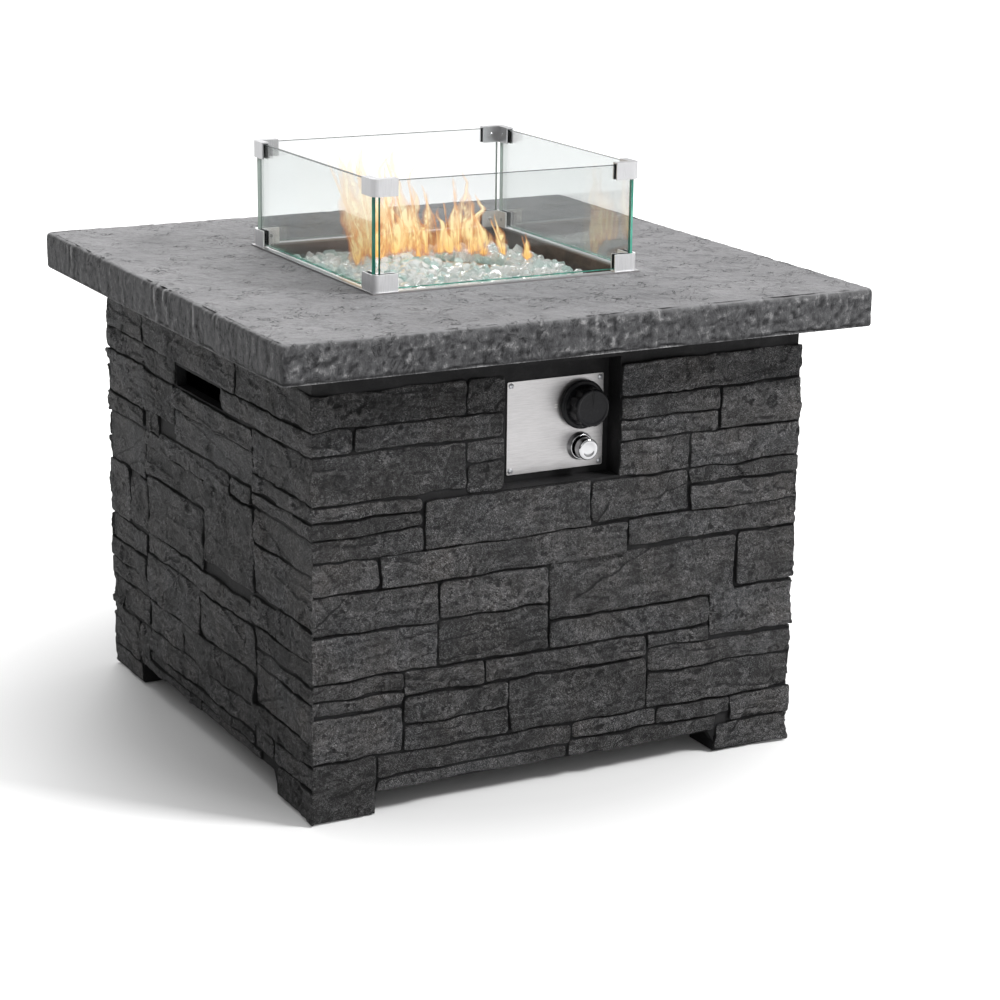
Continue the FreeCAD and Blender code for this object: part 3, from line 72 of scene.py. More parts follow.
# Sizes of the cast parts in millimetres, as in the CAD part. Openings are left, right, low and
# high, counted from the middle of their side and from the floor.
SLAB_LOW, SLAB_HIGH = extent("table_top")
SLAB_HALF = SLAB_HIGH[0]
SLAB_PLATE = 22.0
SLAB_LIP = 28.0
SLAB_CORNER = 9.0
SLAB_ROUND = 6.0
PAN_OPENING = 182.0
COLLAR = 14.0
BASE_LOW = extent("base_shell")[0]
CORE = 339.0
WALL = 14.0
CORE_STEP = 11.0
STONE_LIMIT = 7.3
FLANGE = 12.0
THROAT = 44.0
FOOT_LEDGE = 45.0
FOOT_THICK = 58.0
ARCH = 31.0
ARCH_SLOPE = 30.0
RECESS = (-84.0, 77.0, 393.0, 545.0)
RECESS_DEPTH = 28.0
RECESS_BACK = 8.0
SLEEVE_LIP = 1.2
WINDOW = (-57.0, 60.0, 411.0, 510.0)
SLOT = (-66.0, 90.0, 458.0, 485.0)
DOORWAY = (-175.0, 175.0, 47.0, 527.0)
DOOR = (-172.0, 172.0, 50.0, 524.0)
DOOR_MARGIN = 22.0

# Ends of the arches between the feet, and which end of each slopes.
ARCHES = {
    "front": (-258.0, 231.0), "right": (-226.0, 235.0), "rear": (-231.0, 258.0), "left": (-235.0, 226.0)
}
SLOPED_END = {"front": 231.0, "right": -226.0, "rear": -231.0, "left": 226.0}
# The burner and what lies and burns on it.
BURNER_RADIUS = 95.0
BURNER_LEVEL = 584.0
BED_LEVEL = 600.0
FLAME_HEIGHT = 155.0

# Ledge stones of the two kinds of side, given like the openings. Stones that reach to plus or
# minus STONE_END go on round the corner of the base.
STONE_END = 346
CONTROL_SIDE = (
    (-346, -137, 492, 536), (-137, 84, 492, 536), (77, 346, 494, 536), (-346, -288, 462, 492),
    (-287, -86, 462, 492), (77, 221, 465, 493), (77, 221, 436, 464), (223, 346, 437, 493),
    (-346, -137, 401, 460), (-136, -84, 433, 460), (-136, -84, 394, 432), (77, 180, 391, 435),
    (181, 346, 390, 436), (-346, -196, 381, 400), (-346, -196, 361, 380), (-346, -194, 331, 360),
    (-193, 37, 332, 393), (38, 180, 336, 390), (181, 346, 370, 390), (181, 346, 334, 368),
    (-346, -253, 290, 330), (-252, 91, 290, 332), (92, 346, 300, 334), (-346, -174, 239, 289),
    (-346, -174, 181, 238), (-173, -20, 241, 289), (-173, -20, 181, 240), (-19, 253, 218, 295),
    (254, 346, 226, 298), (-19, 215, 180, 217), (216, 346, 163, 224), (-346, -221, 157, 180),
    (-346, -222, 138, 156), (-221, -111, 150, 180), (-110, 124, 150, 178), (125, 215, 159, 178),
    (126, 346, 126, 158), (-346, -222, 78, 136), (-221, -75, 111, 148), (-221, -75, 78, 110),
    (-74, 123, 78, 148), (124, 346, 78, 125), (-346, -258, 3, 77), (-257, 16, 48, 76),
    (17, 139, 54, 77), (140, 250, 54, 77), (251, 346, 41, 77), (-257, 12, 31, 47),
    (13, 229, 31, 53), (231, 346, 3, 40),
)
PLAIN_SIDE = (
    (-346, -206, 491, 536), (-205, 115, 490, 536), (116, 346, 491, 536), (-346, -206, 460, 490),
    (-205, -90, 457, 490), (68, 346, 460, 490), (-346, -206, 401, 459), (-205, -96, 402, 456),
    (-95, 165, 426, 456), (-95, 165, 383, 425), (166, 346, 402, 459), (-346, -206, 374, 400),
    (-205, -150, 374, 402), (166, 346, 380, 402), (-346, -206, 304, 372), (-205, -149, 352, 374),
    (-148, 91, 352, 382), (92, 165, 358, 382), (166, 346, 360, 378), (-205, 3, 313, 352),
    (4, 168, 246, 356), (169, 346, 315, 358), (-346, -267, 225, 304), (-266, -199, 230, 304),
    (-198, 3, 232, 312), (169, 346, 249, 314), (-346, -206, 191, 224), (-205, 156, 202, 231),
    (157, 231, 207, 245), (232, 346, 207, 248), (-346, -206, 160, 190), (-346, -206, 135, 159),
    (-205, -15, 137, 201), (-14, 168, 140, 201), (169, 346, 178, 206), (169, 346, 157, 176),
    (-346, -301, 92, 134), (-300, -203, 94, 134), (-202, -77, 93, 136), (-76, 167, 95, 139),
    (168, 346, 105, 156), (-346, -243, 31, 90), (-242, -203, 31, 91), (-202, 161, 61, 93),
    (-202, 161, 45, 60), (162, 346, 74, 104), (162, 221, 45, 73), (222, 346, 45, 73),
    (-346, -235, 3, 30), (-225, -16, 31, 44), (-15, 184, 31, 44), (235, 346, 3, 44),
)
# Further stones of the door, where the control side has its recess.
DOOR_FILL = ((-83, 76, 462, 491), (-83, 8, 429, 461), (9, 76, 429, 461), (-83, 76, 394, 428))
SIDE_TURNS = {"front": 0, "right": 90, "rear": 180, "left": 270}


def scattered(column, row, seed):
    """Even random numbers from 0 to 1, one for each whole grid point."""
    mixed = (column * 374761393 + row * 668265263 + seed * 974634777) & 0xFFFFFFFF
    mixed = ((mixed ^ (mixed >> 13)) * 1274126177) & 0xFFFFFFFF
    return ((mixed ^ (mixed >> 16)) & 0xFFFF) / 0xFFFF


def waves(x, y, seed):
    """Smooth noise from -1 to 1 with features one unit wide."""
    column, row = np.floor(x).astype(np.int64), np.floor(y).astype(np.int64)
    along, up = x - column, y - row
    along, up = along**2 * (3 - 2 * along), up**2 * (3 - 2 * up)
    low = scattered(column, row, seed) * (1 - along) + scattered(column + 1, row, seed) * along
    high = scattered(column, row + 1, seed) * (1 - along) + scattered(column + 1, row + 1, seed) * along
    return 2 * (low * (1 - up) + high * up) - 1


def rough(x, y, seed, octaves=4):
    """Noise in several sizes, each half as large and half as strong as the one before."""
    total = np.zeros(np.broadcast(x, y).shape)
    for octave in range(octaves):
        scale = 2.0**octave
        total += waves(x * scale + 19.7 * octave, y * scale - 7.3 * octave, seed + octave) / scale
    return total


def eased(value):
    """Smooth step from 0 to 1."""
    value = np.clip(value, 0, 1)
    return value * value * (3 - 2 * value)
def operator(operation, reflected=False):
    """Arithmetic on the outputs of shader nodes, also with the plain number on the left."""
    def combine(one, other):
        first, second = (other, one) if reflected else (one, other)
        return one.nodes.node("ShaderNodeMath", {"operation": operation}, first, second)
    return combine


class Signal:
    """Output of a shader node, on which plain arithmetic adds Math nodes."""

    def __init__(self, nodes, socket):
        self.nodes = nodes
        self.socket = socket

    __add__, __radd__ = operator("ADD"), operator("ADD", True)
    __sub__, __rsub__ = operator("SUBTRACT"), operator("SUBTRACT", True)
    __mul__, __rmul__ = operator("MULTIPLY"), operator("MULTIPLY", True)
    __pow__ = operator("POWER")


class Nodes:
    """The nodes of a material or of the room round the table."""

    def __init__(self, tree):
        self.tree = tree

    def feed(self, socket, value):
        if isinstance(value, Signal):
            self.tree.links.new(value.socket, socket)
        elif isinstance(value, tuple) and len(value) == 3 and socket.type == "RGBA":
            socket.default_value = (*value, 1)
        else:
            socket.default_value = value

    def node(self, kind, settings, *values, output=0, **named):
        """Add a node: its settings come first, then the values or links of its sockets."""
        made = self.tree.nodes.new(kind)
        for name, value in settings.items():
            if name == "stops":
                self.set_stops(made.color_ramp, value)
            else:
                setattr(made, name, value)
        for socket, value in zip(made.inputs, values):
            self.feed(socket, value)
        for name, value in named.items():
            self.feed(made.inputs[name.replace("_", " ")], value)
        return Signal(self, made.outputs[output])

    def set_stops(self, ramp, stops):
        while len(ramp.elements) < len(stops):
            ramp.elements.new(1)
        for element, (place, colour) in zip(ramp.elements, stops):
            element.position = place
            element.color = (*colour, 1) if isinstance(colour, tuple) else (colour, colour, colour, 1)

    def parts(self, kind, value):
        """All outputs of a node that takes a value apart."""
        first = self.node(kind, {}, value)
        return [Signal(self, socket) for socket in first.socket.node.outputs]


class Finish(Nodes):
    """A material that is put together from shader nodes."""

    def __init__(self, name):
        self.material = bpy.data.materials.new(name)
        self.material.use_nodes = True
        super().__init__(self.material.node_tree)
        self.shader = self.tree.nodes["Principled BSDF"]

    def set(self, **values):
        """Set or link sockets of the surface shader."""
        for name, value in values.items():
            self.feed(self.shader.inputs[name.replace("_", " ")], value)

    def ramp(self, value, *stops):
        return self.node("ShaderNodeValToRGB", {"stops": stops}, value)

    def rise(self, value, start, end):
        """0 up to the start and 1 from the end on."""
        return self.ramp(value, (start, 0.0), (end, 1.0))

    def fall(self, value, start, end):
        """1 up to the start and 0 from the end on."""
        return self.ramp(value, (start, 1.0), (end, 0.0))

    def thread(self, value, width):
        """1 where noise crosses a half and 0 beyond the width: thin wandering lines."""
        return self.ramp(value, (0.5 - width, 0.0), (0.5, 1.0), (0.5 + width, 0.0))

    def place(self):
        """Coordinates in metres in the table's own frame."""
        return self.node("ShaderNodeTexCoord", {}, output="Object")

    def axes(self):
        """The same coordinates as x, y and z."""
        return self.parts("ShaderNodeSeparateXYZ", self.place())

    def mark(self, name):
        """Red, green and blue parts of a colour painted on the mesh."""
        painted = self.node("ShaderNodeAttribute", {"attribute_name": name}, output="Color")
        return self.parts("ShaderNodeSeparateColor", painted)

    def vector(self, x, y, z):
        return self.node("ShaderNodeCombineXYZ", {}, x, y, z)

    def noise(self, where, scale, detail=4.0, roughness=0.55, warp=0.0):
        return self.node(
            "ShaderNodeTexNoise", {},
            Vector=where, Scale=scale, Detail=detail, Roughness=roughness, Distortion=warp,
        )

    def blend(self, share, first, second, kind="MIX"):
        """Mix of two colours, which the node takes after its other kinds of value."""
        settings = {"data_type": "RGBA", "blend_type": kind}
        mixed = self.node("ShaderNodeMix", settings, share, output=2)
        for socket, colour in zip(mixed.socket.node.inputs[6:8], (first, second)):
            self.feed(socket, colour)
        return mixed

    def bump(self, height, distance, strength=1.0):
        """Bump whose height is in units of the distance, in metres."""
        skin = self.node("ShaderNodeBump", {}, Height=height, Distance=distance, Strength=strength)
        self.set(Normal=skin)


def cast_stone():
    """Grey-brown cast ledge stone with tooled faces, black joints, pale ridges of wear and painted
    highlight, and painted shade in its hollows.
    """
    f = Finish("cast_ledge_stone")
    x, y, z = f.axes()
    tint, relief, border = f.mark("marks")
    along, layer = x + y, tint * 9.0
    where = f.vector(along, z, layer)
    leaning = f.vector(along * 0.85 + z * 0.5, z * 0.5 - along * 0.3, layer)
    strokes = f.noise(leaning, 430.0, 6.0, 0.78, 1.6)
    crumple = f.noise(where, 210.0, 8.0, 0.74, 1.6)
    speck = f.noise(where, 700.0, 4.0, 0.7)
    cloud = f.noise(where, 34.0, 5.0, 0.62, 0.6)
    blotch = f.noise(f.place(), 14.0, 4.0, 0.6)
    slate_blue, grey, brown = (0.017, 0.018, 0.0205), (0.025, 0.024, 0.0245), (0.026, 0.022, 0.020)
    ridge_wear_and_highlight, scratch, grit_and_glint = (0.09, 0.088, 0.089), (0.5, 0.493, 0.496), (0.14, 0.137, 0.138)
    hollow_shade_and_crack, joint = (0.003, 0.003, 0.0035), (0.0015, 0.0015, 0.002)
    colour = f.ramp(blotch, (0.38, slate_blue), (0.52, grey), (0.66, brown))
    colour = f.blend(1.0, colour, f.ramp(tint, (0.0, 0.55), (1.0, 1.2)), "MULTIPLY")
    # Pale ridges: partly dry-brushed wear, partly a painted highlight where light catches the raised
    # face.
    colour = f.blend(f.rise(relief * 0.5 + strokes * 0.9, 0.735, 0.83) * 0.75, colour, ridge_wear_and_highlight)
    colour = f.blend(f.thread(crumple, 0.017) * f.rise(strokes, 0.44, 0.54) * 0.9, colour, scratch)
    # Pale grit specks, which also paint small glints on the face.
    colour = f.blend(f.rise(speck, 0.57, 0.66) * 0.6, colour, grit_and_glint)
    # Painted shade: hollows of the face darkened to near black; the thin dark cracks below take the
    # same colour.
    colour = f.blend(f.fall(relief * 0.6 + strokes * 0.75, 0.56, 0.65) * 0.9, colour, hollow_shade_and_crack)
    colour = f.blend(f.thread(strokes, 0.015) * 0.75, colour, hollow_shade_and_crack)
    colour = f.blend(f.rise(border, 0.35, 0.7), colour, joint)
    shade = f.ramp(cloud + tint * 0.12, (0.4, 0.42), (0.54, 0.85), (0.72, 1.4))
    colour = f.blend(1.0, colour, shade, "MULTIPLY")
    f.set(Base_Color=colour, Roughness=0.5 + strokes * 0.25, Specular_IOR_Level=0.3)
    f.bump(strokes * 0.6 + crumple * 0.8 + speck * 0.2, 0.0075)
    return f.material


def cast_slate():
    """Slate-look top: paler level face with clefts and short cracks, dark hewn edge with painted shade
    in its pits and painted highlight on its ridges.
    """
    f = Finish("cast_slate")
    x, y, z = f.axes()
    level, relief, edge = f.mark("marks")
    where = f.place()
    turned = f.vector(x * 0.8 + y * 0.6, (y * 0.8 - x * 0.6) * 0.6, z * 0.6)
    folds = f.noise(turned, 42.0, 6.0, 0.62, 0.9)
    ripple = f.noise(turned, 170.0, 5.0, 0.65, 0.8)
    grain = f.noise(where, 700.0, 3.0)
    patches = f.noise(where, 8.0)
    cleft = f.vector(x * 0.88 + y * 0.47, (y * 0.88 - x * 0.47) * 2.0, z)
    sparse = f.rise(f.noise(where, 21.0, 2.0), 0.48, 0.57)
    crack = f.thread(f.noise(cleft, 26.0, 4.0, 0.55, 1.4), 0.014) * sparse
    dark, pale = (0.125, 0.124, 0.129), (0.18, 0.178, 0.183)
    face = f.ramp(patches * 0.6 + folds * 0.4, (0.35, dark), (0.65, pale))
    face = f.blend(f.fall(ripple * 0.6 + folds * 0.5, 0.4, 0.54) * 0.6, face, (0.06, 0.059, 0.062))
    face = f.blend(f.rise(ripple, 0.58, 0.72) * 0.5, face, (0.29, 0.288, 0.293))
    # Hewn edge: darkest in its deepest bites and palest on its ridges, which is painted shade and
    # highlight.
    hewn = f.ramp(
        relief * 0.5 + ripple * 0.45 + grain * 0.25,
        (0.46, (0.005, 0.005, 0.006)), (0.57, (0.025, 0.025, 0.027)),
        (0.68, (0.05, 0.05, 0.052)), (0.82, (0.19, 0.188, 0.19)),
    )
    colour = f.blend(level, hewn, face)
    colour = f.blend(edge * 0.5, colour, (0.25, 0.25, 0.255))
    colour = f.blend(crack * level, colour, (0.010, 0.010, 0.011))
    f.set(Base_Color=colour, Roughness=0.52 + grain * 0.2 + crack * 0.3, Specular_IOR_Level=0.32)
    f.bump(folds * 1.1 + ripple * 0.6 + grain * 0.14 - crack * 0.6, 0.0028)
    return f.material


def cast_dark():
    """Plain cast of the recess, the rim and the inside, smoother than the stones and painted nearly
    black for the shade that falls in them.
    """
    f = Finish("cast_core")
    cloud = f.noise(f.place(), 30.0, 5.0, 0.6)
    grain = f.noise(f.place(), 420.0, 3.0)
    # Near-black tones: painted shade of the recess, rim and inside, darker than the cast's own colour.
    dark, middle, light = (0.004, 0.004, 0.0045), (0.007, 0.007, 0.0075), (0.015, 0.0145, 0.015)
    colour = f.ramp(cloud, (0.3, dark), (0.55, middle), (0.72, light))
    f.set(Base_Color=colour, Roughness=0.6 + grain * 0.2, Specular_IOR_Level=0.18)
    f.bump(cloud * 0.6 + grain * 0.4, 0.0016, 0.8)
    return f.material


def sheet_steel(name, tone, along, shine=0.3, contrast=0.8):
    """Brushed sheet whose fine lines run along one axis."""
    f = Finish(name)
    across = 40.0
    stretched = [part if axis == along else part * across for axis, part in zip("xyz", f.axes())]
    brushed = f.noise(f.vector(*stretched), 45.0, 4.0, 0.75)
    cloud = f.noise(f.place(), 12.0, 3.0)
    dull = tuple(t * contrast for t in tone)
    shade = f.ramp(brushed * 0.8 + cloud * 0.2, (0.35, dull), (0.62, tone))
    f.set(Base_Color=shade, Metallic=1.0, Roughness=shine + brushed * 0.16)
    f.bump(brushed, 0.00012, 0.8)
    return f.material


def plain_metal(name, tone, shine, speck=0.0001, metal=1.0):
    """Cast, plated or machined metal with slight cloudiness and a fine skin."""
    f = Finish(name)
    cloud = f.noise(f.place(), 35.0)
    shade = f.ramp(cloud, (0.3, tuple(t * 0.8 for t in tone)), (0.7, tone))
    f.set(Base_Color=shade, Metallic=metal, Roughness=shine + cloud * 0.12)
    f.bump(f.noise(f.place(), 700.0, 2.0), speck, 0.5)
    return f.material


def heated_steel():
    """Sheet of the burner pan: browned by the fire inside, still bright along its flange."""
    f = Finish("heated_steel")
    x, y, z = f.axes()
    cloud = f.noise(f.vector(x, y, z * 3.0), 18.0, 4.0, 0.6, 0.5)
    fine = f.noise(f.vector(x * 0.2, y * 0.2, z * 4.0), 300.0, 3.0)
    shade = f.ramp(
        cloud * 0.8 + fine * 0.2,
        (0.3, (0.040, 0.028, 0.023)), (0.45, (0.085, 0.052, 0.038)),
        (0.58, (0.14, 0.095, 0.075)), (0.72, (0.05, 0.038, 0.04)),
    )
    bright = f.rise(z, 0.6135, 0.6148)
    shade = f.blend(bright, shade, (0.5, 0.5, 0.51))
    f.set(Base_Color=shade, Metallic=0.85, Roughness=0.34 + cloud * 0.2 - bright * 0.12)
    f.bump(fine, 0.0001, 0.5)
    return f.material


def moulded(name, tone, shine):
    """Moulded plastic or rubber with a fine even skin."""
    f = Finish(name)
    cloud = f.noise(f.place(), 60.0, 3.0)
    shade = f.ramp(cloud, (0.3, tuple(t * 0.75 for t in tone)), (0.7, tone))
    f.set(Base_Color=shade, Roughness=shine + cloud * 0.1, Specular_IOR_Level=0.12)
    f.bump(f.noise(f.place(), 1400.0, 2.0), 0.00005, 0.6)
    return f.material


def clear_glass():
    """Faces of the panes, which show what is behind them and shine at a slant."""
    f = Finish("clear_glass")
    x, y, z = f.axes()
    smear = f.noise(f.vector(x, y, z * 0.4), 14.0, 3.0)
    slant = f.node("ShaderNodeFresnel", {}, IOR=1.4)
    clear = f.node("ShaderNodeBsdfTransparent", {}, Color=(0.895, 0.9, 0.9))
    f.set(Base_Color=(0.86, 0.9, 0.89), Metallic=1.0, Roughness=0.02 + smear * 0.02)
    shiny = Signal(f, f.shader.outputs[0])
    both = f.node("ShaderNodeMixShader", {}, slant * 0.42 + smear * 0.012, clear, shiny)
    f.feed(f.tree.nodes["Material Output"].inputs["Surface"], both)
    return f.material


def glass_edge():
    """Ground edges of the panes: green up the sides, with a painted pale reflection that greys them at
    the rear, nearly black along the top.
    """
    f = Finish("glass_edge")
    x, y, z = f.axes()
    depth = f.noise(f.vector(x, y, z * 0.15), 90.0, 3.0)
    green = (0.3, (0.006, 0.07, 0.05)), (0.5, (0.02, 0.20, 0.14)), (0.72, (0.12, 0.42, 0.33))
    shade = f.ramp(depth, *green)
    rim = f.ramp(depth, (0.3, (0.008, 0.012, 0.011)), (0.7, (0.05, 0.07, 0.065)))
    # Painted reflection: the rear edges are greyed, though their glass is as green as the rest.
    rear = f.ramp(y, (0.1, 0.0), (0.16, 0.75))
    shade = f.blend(rear, shade, (0.42, 0.44, 0.42))
    top = f.rise(z, 0.742, 0.75)
    f.set(Base_Color=f.blend(top, shade, rim), Roughness=0.12 + depth * 0.1, Specular_IOR_Level=0.25)
    return f.material


def bead_glass():
    """Pale aqua glass nuggets, no two of quite the same colour, with a faint painted glow over every
    bead for the fire's light and painted shade deep in the bed.
    """
    f = Finish("bead_glass")
    tint, buried_shade, _ = f.mark("marks")
    swirl = f.noise(f.place(), 170.0, 4.0, 0.6, 1.5)
    shade = f.ramp(
        tint * 0.8 + swirl * 0.3,
        (0.12, (0.55, 0.78, 0.74)), (0.36, (0.76, 0.88, 0.86)),
        (0.55, (0.93, 0.96, 0.95)), (0.95, (0.97, 0.97, 0.96)),
    )
    # Painted shade: points deep in the bed, under other beads, are darkened.
    shade = f.blend(buried_shade * 0.7, shade, (0.34, 0.48, 0.46))
    # Painted glow: the beads give off a faint warm light of their own, evenly over the whole bed.
    painted_glow = f.blend(0.6, shade, (1.0, 0.95, 0.84))
    f.set(Base_Color=shade, Roughness=0.02 + swirl * 0.04, Transmission_Weight=0.68, IOR=1.5)
    f.set(Coat_Weight=0.8, Emission_Color=painted_glow, Emission_Strength=0.09)
    f.bump(swirl, 0.0022, 0.9)
    return f.material


def fire():
    """Flame that is pale yellow in its core, orange low down and at its rims, and fades away there."""
    f = Finish("flame")
    heart, height, _ = f.mark("marks")
    x, y, z = f.axes()
    lick = f.noise(f.vector(x * 1.8, y * 1.8, z * 0.5), 48.0, 5.0, 0.62, 1.1)
    body = heart * f.ramp(lick, (0.3, 0.1), (0.62, 1.0))
    core = f.ramp(
        height,
        (0.0, (1.0, 0.5, 0.1)), (0.14, (1.0, 0.76, 0.32)),
        (0.4, (1.0, 0.88, 0.54)), (1.0, (1.0, 0.87, 0.68)),
    )
    rim = f.ramp(
        height,
        (0.0, (0.5, 0.1, 0.003)), (0.28, (0.85, 0.26, 0.02)),
        (0.55, (0.97, 0.54, 0.24)), (1.0, (1.0, 0.72, 0.52)),
    )
    shade = f.blend(f.rise(body, 0.2, 0.62), rim, core)
    cover = f.ramp(body, (0.04, 0.0), (0.3, 0.45), (0.7, 0.96)) * (1.0 - height * 0.1)
    f.set(Base_Color=(0.0, 0.0, 0.0), Roughness=1.0, Specular_IOR_Level=0.0)
    f.set(Emission_Color=shade, Emission_Strength=1.35, Alpha=cover)
    return f.material


FINISHES = {
    "stone": cast_stone(),
    "slate": cast_slate(),
    "core": cast_dark(),
    "panel_steel": sheet_steel("panel_steel", (0.47, 0.46, 0.463), "x", 0.34, 0.72),
    "bracket_steel": sheet_steel("bracket_steel", (0.5, 0.5, 0.51), "z", 0.22),
    # Lower brackets: a paler, rougher copy of the upper brackets' steel, which paints light onto them.
    "lower_bracket_steel": sheet_steel("lower_bracket_steel", (0.86, 0.86, 0.87), "z", 0.4),
    "ring_steel": plain_metal("ring_steel", (0.42, 0.37, 0.33), 0.3),
    "heated_steel": heated_steel(),
    "zinc": plain_metal("zinc_plate", (0.56, 0.57, 0.59), 0.3),
    "galvanised": plain_metal("galvanised", (0.48, 0.49, 0.5), 0.42, 0.0003),
    "black_metal": plain_metal("black_powder_coat", (0.022, 0.022, 0.023), 0.45, 0.0003, 0.0),
    "brass": plain_metal("brass", (0.65, 0.46, 0.2), 0.26),
    "aluminium": plain_metal("aluminium", (0.62, 0.62, 0.63), 0.34, 0.0002),
    "chrome": plain_metal("chrome", (0.46, 0.46, 0.47), 0.03, 0.00001),
    "knob": moulded("knob_black", (0.006, 0.006, 0.007), 0.22),
    "body_plastic": moulded("black_plastic", (0.02, 0.02, 0.021), 0.45),
    "rubber": moulded("black_rubber", (0.018, 0.018, 0.018), 0.7),
    "ceramic": moulded("white_ceramic", (0.78, 0.76, 0.72), 0.3),
    "glass": clear_glass(),
    "glass_edge": glass_edge(),
    "beads": bead_glass(),
    "flame": fire(),
}


def add_piece(name, shape, finish, body, replaced=(), sharp=38.0):
    """Make a piece from points in millimetres, faces and perhaps marks to paint on it."""
    points, faces, marks = (*shape, None)[:3]
    points = np.asarray(points, float).reshape(-1, 3)
    used = np.unique(np.concatenate([np.asarray(face) for face in faces]))
    renumber = np.full(len(points), -1)
    renumber[used] = np.arange(len(used))
    mesh = bpy.data.meshes.new(name)
    faces = [renumber[list(face)].tolist() for face in faces]
    mesh.from_pydata((points[used] * MM).tolist(), [], faces)
    if marks is not None:
        layer = mesh.color_attributes.new("marks", "FLOAT_COLOR", "POINT")
        colours = np.ones((len(used), 4), np.float32)
        colours[:, :3] = np.asarray(marks).reshape(-1, 3)[used]
        layer.data.foreach_set("color", colours.ravel())
    mesh.materials.append(FINISHES[finish])
    mesh.polygons.foreach_set("use_smooth", [True] * len(mesh.polygons))
    mesh.set_sharp_from_angle(angle=math.radians(sharp))
    mesh.update()
    place_piece(name, mesh, body, replaced)


def place_piece(name, mesh, body, replaced):
    """Put a mesh in the scene and say what it rides on, and which nodes it takes over."""
    piece = bpy.data.objects.new(name, mesh)
    bpy.context.scene.collection.objects.link(piece)
    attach(piece, body)
    if replaced:
        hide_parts(*replaced)


def merged(parts):
    """Join parts of points, faces and, where they are painted, marks into one shape."""
    points, faces, marks, count = [], [], [], 0
    for some_points, some_faces, *some_marks in parts:
        some_points = np.asarray(some_points).reshape(-1, 3)
        points.append(some_points)
        marks += [np.asarray(painted).reshape(-1, 3) for painted in some_marks]
        faces.extend([[index + count for index in face] for face in some_faces])
        count += len(some_points)
    return np.concatenate(points), faces, np.concatenate(marks) if marks else None


def grid_faces(columns, rows, wrap=False):
    """Quads of a grid of points, column by column, perhaps on to the first column again."""
    faces = []
    for i in range(columns if wrap else columns - 1):
        near, far = i * rows, (i + 1) % columns * rows
        faces.extend([[near + j, far + j, far + j + 1, near + j + 1] for j in range(rows - 1)])
    return faces


def ring_faces(columns, rows):
    """Quads of a grid of points that closes on itself both ways."""
    starts = [(i * rows, (i + 1) % columns * rows) for i in range(columns)]
    closing = [[near + rows - 1, far + rows - 1, far, near] for near, far in starts]
    return grid_faces(columns, rows, wrap=True) + closing


def block(low, high):
    """Points and faces of a plain block."""
    xs, ys, zs = zip(low, high)
    points = np.array([(x, y, z) for x in xs for y in ys for z in zs])
    return points, [[0, 1, 3, 2], [4, 6, 7, 5], [0, 4, 5, 1], [2, 3, 7, 6], [1, 5, 7, 3], [0, 2, 6, 4]]


def kept_share(over_one, over_two):
    """Share of its way past two edges at once that a point keeps, which rounds the corner there."""
    both = (over_one > 0) & (over_two > 0)
    diagonal = np.maximum(np.hypot(over_one, over_two), 1e-6)
    return np.where(both, np.maximum(over_one, over_two) / diagonal, 1)


def on_side(along, out, up, turn):
    """Points given along a side, out from its core and up, turned to where the side is."""
    distance = CORE + out
    angle = math.radians(turn)
    x = along * math.cos(angle) + distance * math.sin(angle)
    y = along * math.sin(angle) - distance * math.cos(angle)
    return np.stack([x, y, up], axis=-1)


def without(stone, hole):
    """What a rectangular hole leaves of a stone, as rectangles."""
    left, right, low, high = stone
    a, b, c, d = hole
    if right <= a or left >= b or high <= c or low >= d:
        return [stone]
    rest = [(left, min(right, a), low, high), (max(left, b), right, low, high)]
    rest += [(max(left, a), min(right, b), low, c), (max(left, a), min(right, b), d, high)]
    return [r for r in rest if r[1] - r[0] > 8 and r[3] - r[2] > 5]


def inside(stone, window):
    """The part of a stone that lies in a window, or nothing."""
    left, right = max(stone[0], window[0]), min(stone[1], window[1])
    low, high = max(stone[2], window[2]), min(stone[3], window[3])
    return [(left, right, low, high)] if right - left > 8 and high - low > 5 else []


STEP = 2.3
JOINT = 1.5
ROOT = -2.0


def spread_lines(start, end, mitre_start, mitre_end):
    """Grid lines across a stone, and the kind of each: 2 root, 1 lip, 0.35 shoulder, 0 face."""
    border = ((0.0, 2), (0.0, 1), (0.9, 0.35))
    before = [] if mitre_start else [(start + inward, kind) for inward, kind in border]
    after = [] if mitre_end else [(end - inward, kind) for inward, kind in border[::-1]]
    near = start if mitre_start else start + 2.4
    far = end if mitre_end else end - 2.4
    count = max(3, int(round((far - near) / STEP)) + 1)
    middle = [(place, 0.0) for place in np.linspace(near, far, count)]
    return np.array(before + middle + after).T


def quiet(along, up, holes):
    """Near 0 beside the holes, where edges stay straight, and 1 away from them."""
    calm = np.ones(np.broadcast(along, up).shape)
    for a, b, c, d in holes:
        beside = np.maximum(0, np.maximum(a - along, along - b))
        above = np.maximum(0, np.maximum(c - up, up - d))
        calm *= eased(np.hypot(beside, above) / 18 + 0.05)
    return calm


def blurred(height, size):
    """Mean over a square patch of grid points, to tell ridges from hollows."""
    padded = np.pad(height, size, mode="edge")
    total = np.zeros(height.shape)
    for i in range(2 * size + 1):
        for j in range(2 * size + 1):
            total += padded[i : i + height.shape[0], j : j + height.shape[1]]
    return total / (2 * size + 1) ** 2


